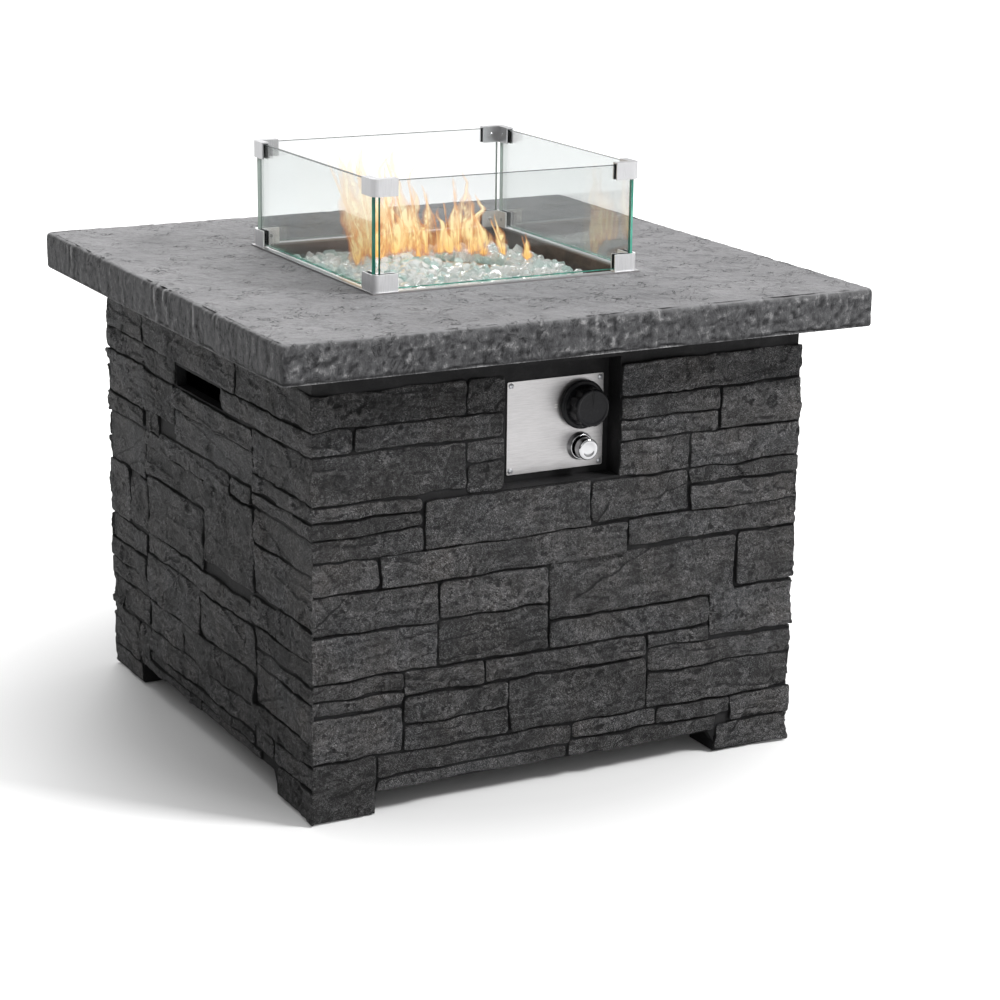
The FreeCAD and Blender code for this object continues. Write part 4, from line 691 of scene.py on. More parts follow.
def chip(chance, stone, along, up, seed):
    """Depth of one shallow flake with a sharp rim, broken off somewhere on a stone."""
    left, right, low, high = stone
    angle = chance.random() * 2 * math.pi
    centre_u = left + (right - left) * chance.random()
    centre_z = low + (high - low) * chance.choice([0, 0, 1, 1, 0.5])
    reach, depth = 9 + 24 * chance.random(), 1.0 + 2.0 * chance.random()
    flat = 0.6 + 0.8 * chance.random()
    forward = (along - centre_u) * math.cos(angle) + (up - centre_z) * math.sin(angle)
    across = (up - centre_z) * math.cos(angle) - (along - centre_u) * math.sin(angle)
    away = np.hypot(forward, across / flat) / reach + 0.24 * rough(along / 11, up / 11, seed + 90, 3)
    return depth * np.clip((1 - away) / 0.1, 0, 1) * (0.6 + 0.4 * np.clip(1 - away, 0, 1))


def crack_line(chance, stone, along, up, seed):
    """One wandering crack: how much the stone steps down across it, and where its dark line is."""
    left, right, low, high = stone
    angle = chance.choice([-1, 1]) * (0.05 + 0.9 * chance.random() ** 2)
    centre_u = left + (right - left) * chance.random()
    centre_z = low + (high - low) * (0.2 + 0.6 * chance.random())
    line = (up - centre_z) * math.cos(angle) - (along - centre_u) * math.sin(angle)
    line = line + 2.8 * rough(along / 24, up / 24, seed + 130, 3)
    reach_end = eased((chance.choice([-1, 1]) * (along - centre_u) + 6) / 14)
    step = (0.7 + 0.9 * chance.random()) * eased(line / 1.4 + 0.5) * reach_end
    return step, np.exp(-(((line - 0.2) / 1.5) ** 2)) * reach_end


def ledge_stone(stone, seed, holes):
    """One split-faced stone as a closed mesh: a grid that is tilted, stepped, chipped and warped."""
    chance = np.random.default_rng(seed)
    stone = left, right, low, high = [float(value) for value in stone]
    at_left, at_right = left <= -STONE_END, right >= STONE_END
    half_joint = JOINT / 2
    start = -CORE if at_left else left + half_joint
    end = CORE if at_right else right - half_joint
    u_lines, u_drop = spread_lines(start, end, at_left, at_right)
    z_lines, z_drop = spread_lines(low + half_joint, high - half_joint, False, False)
    along, up = np.meshgrid(u_lines, z_lines, indexing="ij")
    drop = np.maximum(u_drop[:, None], z_drop[None, :])
    wide, tall = right - left, high - low
    lean = (along - (left + right) / 2) / wide * 1.6 * (chance.random() - 0.5)
    lean = lean + (up - (low + high) / 2) / max(tall, 30) * 1.8 * (chance.random() - 0.35)
    height = 2.9 + 2.2 * chance.random() + lean
    flow = 0.5 * rough(along / 50, up / 30, seed + 60, 2)
    flow = 1.9 * rough(along / 58 + flow, up / 30, seed + 70, 3) + 0.6 * chance.random()
    height += 1.1 * (np.floor(flow) + eased((flow - np.floor(flow) - 0.88) / 0.12))
    height += 0.45 * rough(along / 34, up / 20, seed, 4)
    height += 0.38 * rough(along / 6.5, up / 6.5, seed + 50, 3)
    for _ in range(chance.integers(1, 4) + int(wide > 150)):
        height -= chip(chance, stone, along, up, seed)
    cracks = np.zeros(along.shape)
    for _ in range(chance.integers(0, 3) if tall > 24 else 0):
        step, dark = crack_line(chance, stone, along, up, seed)
        height -= step
        cracks = np.maximum(cracks, dark)
    height = np.clip(height, 0.9, STONE_LIMIT)
    # Ridges and hollows of the face, from which the material paints highlight on ridges and shade in
    # hollows.
    relief = np.clip(0.5 + 0.36 * (height - blurred(height, 2)), 0, 1)
    lip = np.where(drop >= 1, 1.2 + 0.7 * rough(along / 9, up / 9, seed + 170, 2), 0.5 * (drop > 0))
    height = np.where(drop == 2, ROOT, np.maximum(height - lip, 0.3))
    calm = quiet(along, up, holes)
    shift_u = 1.7 * rough(along / 38, up / 30, 401, 3) + 0.5 * rough(along / 13, up / 11, seed + 201, 3)
    shift_z = 1.9 * rough(along / 42, up / 26, 503, 3) + 0.5 * rough(along / 11, up / 13, seed + 231, 3)
    shift_u, shift_z = shift_u * calm * eased((CORE - np.abs(along)) / 25), shift_z * calm
    corner = 2 + 5 * chance.random()
    inward_u = np.minimum(along - start if not at_left else 99, end - along if not at_right else 99)
    inward_z = np.minimum(up - low - half_joint, high - half_joint - up)
    over_u, over_z = np.maximum(corner - inward_u, 0), np.maximum(corner - inward_z, 0)
    pulled = 1 - kept_share(over_u, over_z)
    new_along = along + np.sign((start + end) / 2 - along) * over_u * pulled + shift_u
    new_up = up + np.sign((low + high) / 2 - up) * over_z * pulled + shift_z
    border = np.maximum(np.where(drop >= 1, 1.0, 0.0), 0.85 * cracks)
    tint = np.full(along.shape, chance.random())
    columns = new_along, height, new_up, np.stack([tint, relief, border], axis=-1)
    if at_left or at_right:
        columns = corner_columns(*columns, at_left, at_right)
    new_along, height, new_up, marks = columns
    count_u, count_z = new_along.shape
    last_u, last_z = count_u - 1, count_z - 1
    rim = [i * count_z for i in range(count_u)]
    rim += [last_u * count_z + j for j in range(1, count_z)]
    rim += [i * count_z + last_z for i in range(last_u - 1, -1, -1)]
    rim += list(range(last_z - 1, 0, -1))
    return new_along, height, new_up, grid_faces(count_u, count_z) + [rim[::-1]], marks


def corner_columns(along, height, up, marks, at_left, at_right):
    """Carry a stone round the corner of the base to the mitre, with a closing column behind."""
    def carried(column, sign):
        _, edge, *rest = column
        found = []
        for share, keep in ((0.45, 0.98), (0.8, 0.9), (1.0, 0.78)):
            out = np.where(edge > ROOT, edge * keep, ROOT)
            reach = sign * (CORE + np.where(edge > ROOT, out * share, ROOT))
            found.append((reach, out, *rest))
        closing = np.full_like(edge, sign * (CORE + ROOT))
        return found + [(closing, np.full_like(edge, ROOT), *rest)]
    columns = list(zip(along, height, up, marks))
    before = carried(columns[0], -1)[::-1] if at_left else []
    after = carried(columns[-1], 1) if at_right else []
    return [np.stack(part) for part in zip(*before, *columns, *after)]


def stone_mesh(stones, seed, turn, holes):
    """All stones of one side or of the door as one set of points, faces and marks."""
    parts = []
    for number, stone in enumerate(stones):
        along, out, up, faces, marks = ledge_stone(stone, seed + 7 * number, holes)
        parts.append((on_side(along, out, up, turn), faces, marks))
    return merged(parts)


def solid_plate(u_lines, z_lines, solid, depths, skew=None):
    """Closed plate whose cells are solid or open: faces outside and inside, and edges between."""
    columns, rows, layers = len(u_lines), len(z_lines), len(depths)
    along, up = np.meshgrid(np.array(u_lines, float), np.array(z_lines, float), indexing="ij")
    middle_u = (along[:-1, :-1] + along[1:, 1:]) / 2
    middle_z = (up[:-1, :-1] + up[1:, 1:]) / 2
    full = np.zeros((columns + 1, rows + 1), bool)
    full[1:-1, 1:-1] = solid(middle_u, middle_z)
    if skew:
        along, up = skew(along, up)
    out = np.array(depths, float)[:, None, None] + np.zeros_like(along)
    along, up = np.broadcast_to(along, out.shape), np.broadcast_to(up, out.shape)

    def at(layer, i, j):
        return (layer * columns + i) * rows + j
    faces = []
    last = layers - 1
    for i, j in zip(*np.nonzero(full[1:-1, 1:-1])):
        faces.append([at(0, i, j), at(0, i + 1, j), at(0, i + 1, j + 1), at(0, i, j + 1)])
        faces.append([at(last, i, j), at(last, i, j + 1), at(last, i + 1, j + 1), at(last, i + 1, j)])
        borders = (
            (full[i + 1, j], (i + 1, j), (i, j)),
            (full[i + 1, j + 2], (i, j + 1), (i + 1, j + 1)),
            (full[i, j + 1], (i, j), (i, j + 1)),
            (full[i + 2, j + 1], (i + 1, j + 1), (i + 1, j)),
        )
        for filled, one, other in borders:
            if not filled:
                for k in range(last):
                    faces.append([at(k, *one), at(k, *other), at(k + 1, *other), at(k + 1, *one)])
    return along, out, up, faces


def lines(low, high, step, *extra):
    """Even grid lines between two limits, with further lines that must be there."""
    fixed = sorted({low, high, *[value for value in extra if low < value < high]})
    found = []
    for start, end in zip(fixed[:-1], fixed[1:]):
        count = max(1, int(round((end - start) / step)))
        found += list(np.linspace(start, end, count + 1)[:-1])
    return found + [high]


def within(along, up, rect):
    return (along > rect[0]) & (along < rect[1]) & (up > rect[2]) & (up < rect[3])


def cast_plate(u_lines, z_lines, solid, depths, turn, skew=None, wobble=0.45):
    """Plate of the cast core with a slightly uneven skin, as points, faces and marks."""
    along, out, up, faces = solid_plate(u_lines, z_lines, solid, depths, skew)
    uneven = wobble * rough(along / 14 + out / 9, up / 14, 611, 3)
    points = on_side(along, out + uneven - 0.3 * (out > -1), up, turn)
    return points, faces, np.full(points.shape, 0.4)


def build_base():
    """Cast core of the four sides with their openings, and the ledge stones on it."""
    left_slot = (-SLOT[1], -SLOT[0], SLOT[2], SLOT[3])
    holes = {"front": RECESS, "left": left_slot, "right": SLOT, "rear": DOORWAY}
    base_top = SLAB_HIGH[2] - SLAB_PLATE
    for side, turn in SIDE_TURNS.items():
        hole = holes[side]
        arch = (*ARCHES[side], 0.0, ARCH)
        sloped = SLOPED_END[side]

        def solid(along, up):
            return ~within(along, up, arch) & ~within(along, up, hole)

        def skew(along, up):
            low_end = (np.abs(along - sloped) < 0.01) & (np.abs(up - ARCH) < 0.01)
            return along, np.where(low_end, ARCH / 2, up)
        slope_start = sloped - math.copysign(ARCH_SLOPE, sloped)
        u_lines = lines(-CORE, CORE, CORE_STEP, *arch[:2], slope_start, *hole[:2])
        z_lines = lines(BASE_LOW[2], base_top, CORE_STEP, ARCH, *hole[2:])
        parts = [cast_plate(u_lines, z_lines, solid, (0.0, -5.0, -WALL), turn, skew)]
        if side == "front":
            parts += recess_parts(turn)
        add_piece(f"cast_core_{side}", merged(parts), "core", "table", ("base_shell",))
        kind = CONTROL_SIDE if side in ("front", "rear") else PLAIN_SIDE
        clear = hole
        if side == "rear":
            clear = tuple(value + grow for value, grow in zip(hole, (-DOOR_MARGIN, DOOR_MARGIN) * 2))
        stones = [part for stone in kind for part in without(stone, clear)]
        shape = stone_mesh(stones, 1000 + turn, turn, [clear])
        add_piece(f"ledge_stones_{side}", shape, "stone", "table", ("base_shell",))


def recess_parts(turn):
    """Jambs of the control recess behind the wall, and the rim that carries the panel."""
    left, right, low, high = RECESS
    u_lines = lines(left - WALL, right + WALL, 12, left, right, WINDOW[0], WINDOW[1])
    z_lines = lines(low - WALL, high + WALL, 12, low, high, WINDOW[2], WINDOW[3])
    rim = -RECESS_DEPTH - SLEEVE_LIP

    def around(hole):
        return lambda along, up: ~within(along, up, hole)
    return [
        cast_plate(u_lines, z_lines, around(RECESS), (-WALL, -21.0, rim), turn, None, 0.3),
        cast_plate(u_lines, z_lines, around(WINDOW), (rim - 0.2, rim - RECESS_BACK), turn, None, 0.1),
    ]


def build_base_inside():
    """Flange under the top and thick feet with their ledge, as level plates."""
    inner = CORE - WALL
    throat = inner - THROAT
    base_top = SLAB_HIGH[2] - SLAB_PLATE
    foot = CORE - FOOT_THICK
    front_start, front_end = ARCHES["front"]
    side_start, side_end = ARCHES["right"]

    def level_plate(solid, low, high, *extra):
        u_lines = lines(-inner, inner, 60, *extra)
        along, out, up, faces = solid_plate(u_lines, u_lines, solid, (high, low))
        points = np.stack([along, up, out], axis=-1)
        return points, faces, np.full(points.shape, 0.4)

    def beyond(limit):
        return lambda x, y: (np.abs(x) > limit) | (np.abs(y) > limit)

    def feet(x, y):
        across_front = (np.abs(y) > foot) & (x > front_start) & (x < front_end)
        across_side = (np.abs(x) > foot) & (y > side_start) & (y < side_end)
        return beyond(foot)(x, y) & ~across_front & ~across_side
    parts = [
        level_plate(beyond(throat), base_top - FLANGE, base_top, -throat, throat),
        level_plate(beyond(foot), ARCH, FOOT_LEDGE, -foot, foot),
        level_plate(feet, BASE_LOW[2], ARCH, -foot, foot, front_start, front_end, side_start, side_end),
    ]
    add_piece("base_inside", merged(parts), "core", "table", ("base_shell",))


def build_rear_door():
    """Door panel with the stones that carry on the coursing of the rear side."""
    margin = DOOR_MARGIN
    window = (DOOR[0] + margin, DOOR[1] - margin, DOOR[2] + margin, DOOR[3] - margin)
    u_lines, z_lines = lines(DOOR[0], DOOR[1], 12), lines(DOOR[2], DOOR[3], 12)
    turn = SIDE_TURNS["rear"]

    def everywhere(along, up):
        return np.ones(along.shape, bool)
    panel = cast_plate(u_lines, z_lines, everywhere, (0.0, -7.0, -WALL), turn, None, 0.2)
    stones = [part for stone in CONTROL_SIDE + DOOR_FILL for part in inside(stone, window)]
    shape = stone_mesh(stones, 5000, turn, [])
    add_piece("door_panel", panel, "core", "door", ("rear_door",))
    add_piece("door_stones", shape, "stone", "door", ("rear_door",))


def slab_section(top, low, half):
    """Reach, height and kind of the points round the section of the top, from its opening on."""
    plate_low, lip, collar = top - SLAB_PLATE, half - SLAB_LIP, PAN_OPENING + COLLAR
    section = [(PAN_OPENING, z, "opening") for z in np.linspace(low, top - 0.8, 8)]
    section += [(PAN_OPENING + 0.4, top - 0.2, "opening"), (PAN_OPENING + 1.0, top, "top")]
    section += [(d, top, "top") for d in np.linspace(PAN_OPENING + 6, half - SLAB_ROUND - 1, 70)]
    for angle in np.linspace(0, 90, 6):
        turn = math.radians(angle)
        reach = half - SLAB_ROUND + SLAB_ROUND * math.sin(turn)
        section.append((reach, top - SLAB_ROUND * (1 - math.cos(turn)), "edge"))
    section += [(half, z, "edge") for z in np.linspace(top - SLAB_ROUND - 2.4, low + 2.2, 18)]
    section += [(half - 0.7, low + 0.7, "edge"), (half - 2.4, low, "under")]
    section += [(d, low, "under") for d in np.linspace(half - 9, lip, 4)]
    section += [(lip, z, "under") for z in np.linspace(low + 9, plate_low, 3)]
    section += [(d, plate_low, "under") for d in np.linspace(lip - 40, collar, 5)]
    section += [(collar, low, "under"), (PAN_OPENING + COLLAR / 2, low, "under")]
    return [np.array(column) for column in zip(*section)]


def build_slab():
    """Cast top: one closed sweep of its section round the square, with a cleft face and hewn edge."""
    top, low, half = SLAB_HIGH[2], SLAB_LOW[2], SLAB_HALF
    reach, level, kind = slab_section(top, low, half)
    face_rows, edge_rows = kind == "top", kind == "edge"
    per_side = 280
    share = np.tile(np.linspace(-1, 1, per_side + 1)[:-1], 4)
    side = np.repeat(np.arange(4), per_side)

    def spread(along, out):
        return (
            np.choose(side[:, None], [along, out, -along, -out]),
            np.choose(side[:, None], [-out, along, out, -along]),
        )
    along = share[:, None] * reach[None, :]
    out = np.broadcast_to(reach, along.shape).copy()
    up = np.broadcast_to(level, along.shape).copy()
    x, y = spread(along, out)
    seeds = side[:, None] * 31
    fold = rough(x / 46 + 0.6 * rough(x / 60, y / 60, 21, 2), y / 30, 33, 5)
    cleft = np.abs(rough(x / 70 + fold * 0.4, y / 52, 57, 4))
    ripple = rough((x * 0.88 - y * 0.47) / 20, (x * 0.47 + y * 0.88) / 11, 83, 3)
    away = eased((np.maximum(np.abs(x), np.abs(y)) - 192) / 22)
    dips = 0.2 + 0.3 * (1 - fold) + 0.9 * np.exp(-cleft * 9) + 0.3 * (1 + ripple)
    dips = np.where(face_rows, 1, 0) * away * dips
    flowing = side[:, None] % 2 == 1
    bent = 0.7 * rough(along / 40, up / 26, 113, 2)
    grooves = np.where(
        flowing,
        rough(along / 13 + bent + seeds, up / 60, 71, 4),
        rough(along / 22 + seeds, up / 14 + bent, 71, 4),
    )
    pits = np.maximum(rough(along / 7 + seeds, up / 6, 97, 3) - 0.2, 0) * np.where(flowing, 0.4, 0.9)
    broad = rough(along / 75 + seeds, up / 70, 131, 2)
    chips = np.maximum(rough(along / 24 + seeds, np.zeros_like(up), 151, 3) - 0.15, 0)
    near_top = np.exp(-np.maximum(top - up, 0) / 7)
    near_low = np.exp(-np.maximum(up - low, 0) / 5)
    bite = 0.1 + 0.95 * (1 + grooves) + 1.7 * pits + 0.4 * (1 + broad)
    bite = bite + 3.4 * chips * (near_top + 0.7 * near_low)
    bite = np.where(edge_rows, np.clip(bite, 0.1, 6.0), 0)
    drop = dips + np.where(edge_rows, near_top * np.clip(0.9 + 1.4 * chips + 0.5 * fold, 0, 3.0), 0)
    up = up - np.clip(drop, 0, 3.2) * (kind != "opening")
    lowest = edge_rows & (level < low + 3)
    up = up + np.where(lowest, 1.6 * np.clip(0.5 + chips * 2 + 0.5 * grooves, 0, 2), 0)
    out = out - bite
    x, y = spread(share[:, None] * out, out)
    limit = half - SLAB_CORNER
    over_x, over_y = np.maximum(np.abs(x) - limit, 0), np.maximum(np.abs(y) - limit, 0)
    pulled = 1 - kept_share(over_x, over_y)
    x, y = x - np.sign(x) * over_x * pulled, y - np.sign(y) * over_y * pulled
    # Ridges and hollows of the hewn edge, from which the material paints highlight and shade.
    relief = np.clip(0.5 + 0.4 * (blurred(bite, 3) - bite), 0, 1)
    rim = np.where(edge_rows, np.exp(-np.maximum(top - level, 0) / 2.5), 0)
    rim = np.clip(rim + np.exp(-(half - out) / 3) * face_rows, 0, 1)
    flat = np.where(face_rows, 1.0, 0.0) + np.where(edge_rows & (level > top - 1.2), 0.6, 0)
    marks = np.stack(np.broadcast_arrays(flat, relief, rim), axis=-1)
    faces = [face[::-1] for face in ring_faces(*along.shape)]
    shape = np.stack([x, y, up], axis=-1), faces, marks
    add_piece("slate_top", shape, "slate", "table", ("table_top",))


def build_panes():
    """Glass panes with ground edges: large faces clear, narrow ones green."""
    for side in ("front", "rear", "left", "right"):
        low, high = extent(f"glass_pane_{side}")
        shape = bmesh.new()
        bmesh.ops.create_cube(shape, size=1.0)
        size = high - low
        for vertex in shape.verts:
            vertex.co = Vector((low + high) / 2 + np.array(vertex.co) * size) * MM
        bmesh.ops.bevel(
            shape, geom=shape.edges[:], offset=0.5 * MM, segments=1, affect="EDGES", clamp_overlap=True
        )
        thin = int(np.argmin(size))
        for face in shape.faces:
            face.material_index = 0 if abs(face.normal[thin]) > 0.99 else 1
        mesh = bpy.data.meshes.new(f"pane_{side}")
        shape.to_mesh(mesh)
        shape.free()
        mesh.materials.append(FINISHES["glass"])
        mesh.materials.append(FINISHES["glass_edge"])
        place_piece(f"pane_{side}", mesh, "wind_guard", (f"glass_pane_{side}",))


def nugget(shape, chance, size):
    """One glass nugget: a ball cut by many planes and stretched unevenly."""
    points = shape.copy()
    for _ in range(10):
        normal = chance.normal(size=3)
        normal /= np.linalg.norm(normal)
        over = np.maximum(points @ normal - (0.5 + 0.24 * chance.random()), 0)
        points -= 0.98 * over[:, None] * normal
    points *= size / 2 * (0.85 + 0.45 * chance.random(3))
    turn = Matrix.Rotation(chance.random() * 6.28, 3, Vector(chance.normal(size=3)))
    return points @ np.array(turn).T


def bed_level(x, y):
    """Height of the bed of beads: nearly full, with a trough that bares a part of the burner."""
    away = np.hypot(x, y)
    bed = BED_LEVEL + 4.0 * eased((150 - away) / 80) + 2.0 * rough(x / 40, y / 40, 301, 2)
    bared = eased((x + 10) / 30) * eased((y + 25) / 30)
    return bed - 13.0 * np.exp(-(((away - 84) / 20) ** 2)) * bared


def build_beads():
    """Loose glass nuggets in two layers that fill the pan round the burner."""
    ball = bmesh.new()
    bmesh.ops.create_icosphere(ball, subdivisions=2, radius=1.07)
    shape = np.array([vertex.co for vertex in ball.verts])
    shape_faces = [[vertex.index for vertex in face.verts] for face in ball.faces]
    ball.free()
    chance = np.random.default_rng(11)
    pan, hub = 178.5, 19
    layers = (("bead_bed_lower", -9.0, 16.0, True), ("bead_bed_upper", -1.0, 15.5, False))
    for name, lift, spacing, lower in layers:
        parts = []
        for row in range(int(2 * pan / (spacing * 0.87))):
            y = -pan + 8 + row * spacing * 0.87
            for x in np.arange(-pan + 8 + (row % 2) * spacing / 2, pan - 8, spacing):
                size = 14.5 + 7.0 * chance.random()
                px, py = np.array([x, y]) + chance.normal(size=2) * 1.8
                px, py = np.clip([px, py], -pan + size * 0.6, pan - size * 0.6)
                distance = math.hypot(px, py)
                off_ring = abs(distance - BURNER_RADIUS)
                bared = px > 5 and py > -10
                if distance < hub or (off_ring < 16 and bared and not lower):
                    continue
                pz = bed_level(px, py) + lift - size * 0.28 + chance.normal() * 1.4
                if lower and off_ring < 12 + size * 0.25:
                    if bared:
                        continue
                    pz = min(pz, 590.0)
                points = nugget(shape, chance, size) + [px, py, pz]
                # How far each point lies below the top of the bed, where it is painted in shade.
                buried_shade = np.clip((bed_level(px, py) - 4 - points[:, 2]) / 18, 0, 1)
                tint = np.full(len(points), chance.random())
                parts.append((points, shape_faces, np.stack([tint, buried_shade, buried_shade * 0], axis=-1)))
        add_piece(name, merged(parts), "beads", "table", ("fire_glass",), sharp=16.0)


def lathe(profile, segments, radius_of=None):
    """Points and faces of a turned shape along +Z; the first and last points lie on the axis."""
    angles = np.arange(segments) * 2 * math.pi / segments
    points = [(0.0, 0.0, profile[0][1])]
    for radius, height in profile[1:-1]:
        reach = np.full(segments, float(radius))
        if radius_of:
            reach = radius_of(reach, height, angles)
        level = np.full(segments, float(height))
        points += list(zip(reach * np.cos(angles), reach * np.sin(angles), level))
    points.append((0.0, 0.0, profile[-1][1]))
    rings = len(profile) - 2
    faces = []
    for k in range(segments):
        after = (k + 1) % segments
        faces.append([0, 1 + k, 1 + after])
        for base in range(1, 1 + (rings - 1) * segments, segments):
            faces.append([base + k, base + segments + k, base + segments + after, base + after])
        last = 1 + (rings - 1) * segments
        faces.append([last + k, len(points) - 1, last + after])
    return np.array(points), faces


def outward(shape, at):
    """Put a shape drawn along +Z at a place, pointing towards -Y, out of the control side."""
    points, faces = shape
    return np.stack([at[0] + points[:, 0], at[1] - points[:, 2], at[2] + points[:, 1]], axis=-1), faces


CONTROL_X = (extent("control_knob")[0][0] + extent("control_knob")[1][0]) / 2
KNOB_Z = (extent("control_knob")[0][2] + extent("control_knob")[1][2]) / 2
IGNITER_Z = (extent("igniter_button")[0][2] + extent("igniter_button")[1][2]) / 2
PANEL_Y = extent("control_panel")[0][1]


def rounded(points, radius, steps=4):
    """Profile with its inner corners rounded by short curves."""
    found = [points[0]]
    for near, corner, far in zip(points[:-2], points[1:-1], points[2:]):
        near, corner, far = np.array(near, float), np.array(corner, float), np.array(far, float)
        length_near, length_far = np.linalg.norm(near - corner), np.linalg.norm(far - corner)
        reach = min(radius, length_near / 2.1, length_far / 2.1)
        start = corner + (near - corner) / max(length_near, 1e-6) * reach
        end = corner + (far - corner) / max(length_far, 1e-6) * reach
        for t in np.linspace(0, 1, steps):
            found.append(tuple(start * (1 - t) ** 2 + corner * 2 * t * (1 - t) + end * t**2))
    return found + [points[-1]]


def build_knob():
    """Scalloped knob on its skirt, with a dished face and a pointer groove."""
    low, high = extent("control_knob")
    back, front = PANEL_Y - high[1], PANEL_Y - low[1]
    skirt, cap, flutes = 31.0, 24.5, 8
    profile = [
        (0, back), (skirt - 1, back), (skirt, back + 1), (skirt, back + 2.6), (skirt - 1.6, back + 4),
        (cap + 1.4, back + 4.2), (cap + 0.6, back + 5.5), (cap, back + 9), (cap - 0.4, front - 2.2),
        (cap - 2.2, front - 0.2), (cap - 4, front), (cap - 6.0, front - 0.7), (10, front - 0.9),
        (0, front - 0.9),
    ]

    def fluted(reach, height, angles):
        if height > back + 6 and reach[0] > 12:
            bite = 7.5
            centre = cap + bite - 2.0 * min(1, (height - back - 6) / 3)
            swing = (angles + math.pi / flutes) % (2 * math.pi / flutes) - math.pi / flutes
            sine = centre * np.sin(swing)
            cut = centre * np.cos(swing) - np.sqrt(np.maximum(bite**2 - sine**2, 0))
            reach = np.where((np.abs(sine) < bite) & (cut < reach), cut * 0.85 + reach * 0.15, reach)
        return reach
    points, faces = lathe(rounded(profile, 0.8), 224, fluted)
    face_on = points[:, 2] > front - 1.4
    groove = face_on & (np.abs(points[:, 0]) < 1.1) & (points[:, 1] > 3.5) & (points[:, 1] < 22)
    points[groove, 2] -= 0.8
    at = (CONTROL_X, PANEL_Y, KNOB_Z)
    knob = outward((points, faces), at)
    add_piece("scalloped_knob", knob, "knob", "knob", ("control_knob",), sharp=32.0)
    line = block((-0.55, 6.0, front - 1.62), (0.55, 21.0, front - 1.12))
    add_piece("knob_line", outward(line, at), "body_plastic", "knob")


def build_igniter():
    """Bright conical bezel with a rolled lip, and the domed push button in it."""
    at = (CONTROL_X, PANEL_Y, IGNITER_Z)
    low, high = extent("igniter_bezel")
    back, front = PANEL_Y - high[1], PANEL_Y - low[1]
    outline = [
        (13.9, back), (15, back), (15, -1.3), (15.2, 0.02), (18, 0.02), (17.9, 1.2),
        (16.2, front - 0.8), (15.6, front), (14.4, front), (13.95, front - 0.9), (13.9, front - 4),
    ]
    profile = rounded(outline, 0.6)
    segments = 96
    angles = np.arange(segments) * 2 * math.pi / segments
    ring = np.array([(r * math.cos(a), r * math.sin(a), h) for a in angles for r, h in profile])
    bezel = outward((ring, ring_faces(segments, len(profile))), at)
    add_piece("bright_bezel", bezel, "chrome", "table", ("igniter_bezel",))
    low, high = extent("igniter_button")
    back, front = PANEL_Y - high[1], PANEL_Y - low[1]
    profile = [
        (0, back), (12.6, back), (12.6, front - 13), (13.6, front - 12), (13.6, front - 1.8),
        (12.4, front - 0.4), (10, front), (8.5, front - 0.2), (7, front - 0.9), (3, front - 1.3),
        (0, front - 1.35),
    ]
    button = outward(lathe(rounded(profile, 1.0), segments), at)
    add_piece("push_button", button, "chrome", "button", ("igniter_button",))


def screw_head(radius, height, number):
    """Domed screw head with a cross recess, along +Z, turned a little further for each number."""
    profile = [(0, -0.4), (radius, -0.4), (radius, 0.3)]
    for t in np.linspace(0.15, 1.35, 7):
        profile.append((radius * math.cos(t), 0.3 + (height - 0.3) * math.sin(t)))
    profile += [(radius * share, height) for share in (0.19, 0.12, 0.05)] + [(0, height)]
    points, faces = lathe(profile, 48)
    turn = number * 0.7
    x = np.abs(points[:, 0] * math.cos(turn) + points[:, 1] * math.sin(turn))
    y = np.abs(points[:, 1] * math.cos(turn) - points[:, 0] * math.sin(turn))
    recess = (np.minimum(x, y) < radius * 0.16) & (np.maximum(x, y) < radius * 0.6)
    points[recess & (points[:, 2] > 0.5), 2] -= height * 0.45
    return points, faces


def build_panel_screws():
    """Heads of the four screws of the control panel."""
    low, high = extent("panel_screws")
    radius, height = 3.4, 1.8
    xs, zs = (low[0] + radius, high[0] - radius), (low[2] + radius, high[2] - radius)
    spots = [(x, PANEL_Y, z) for x in xs for z in zs]
    heads = merged(outward(screw_head(radius, height, i), spot) for i, spot in enumerate(spots))
    add_piece("panel_screw_heads", heads, "zinc", "table", ("panel_screws",), sharp=30.0)


def build_panel_ticks():
    """Two short pale strokes beside the knob's skirt, one over the other."""
    strokes = []
    for rise in (1.5, -1.5):
        low = np.array([CONTROL_X - 36.5, PANEL_Y - 0.08, KNOB_Z + rise - 0.45])
        strokes.append(block(low, low + [4.6, 0.16, 0.9]))
    add_piece("panel_ticks", merged(strokes), "ceramic", "table")


def build_burner():
    """Round burner tube with its row of ports, hub and two feed arms."""
    tube, arm, hub, ports = 9.5, 6.6, 15, 60
    foot = extent("burner_ring")[0][2]
    segments, around = 180, 20
    angles = np.arange(segments) * 2 * math.pi / segments
    turns = np.arange(around) * 2 * math.pi / around
    theta, phi = np.meshgrid(angles, turns, indexing="ij")
    port = np.abs((theta * ports / (2 * math.pi)) % 1 - 0.5) < 0.17
    sink = np.where(port & (np.abs(phi - math.pi / 2) < 0.2), 2.0, 0)
    reach = BURNER_RADIUS + (tube - sink) * np.cos(phi)
    rise = BURNER_LEVEL + (tube - 0.3 - sink) * np.sin(phi)
    ring = np.stack([reach * np.cos(theta), reach * np.sin(theta), rise], axis=-1)
    ends = BURNER_RADIUS
    arm_profile = [(0, -ends), (arm, -ends), (arm, -14), (arm, 14), (arm, ends), (0, ends)]
    arm_points, arm_faces = lathe(arm_profile, 24)
    arm_points = arm_points[:, [2, 1, 0]] * [1, 1, -1] + [0, 0, BURNER_LEVEL]
    hub_profile = [(0, foot), (9, foot), (9, 556), (hub, 556), (hub, 592), (11, 594), (0, 594)]
    ring = ring, ring_faces(segments, around)
    arms = arm_points, arm_faces
    shape = merged([ring, arms, lathe(rounded(hub_profile, 1.2), 48)])
    add_piece("burner_tube", shape, "ring_steel", "table", ("burner_ring",), sharp=40.0)


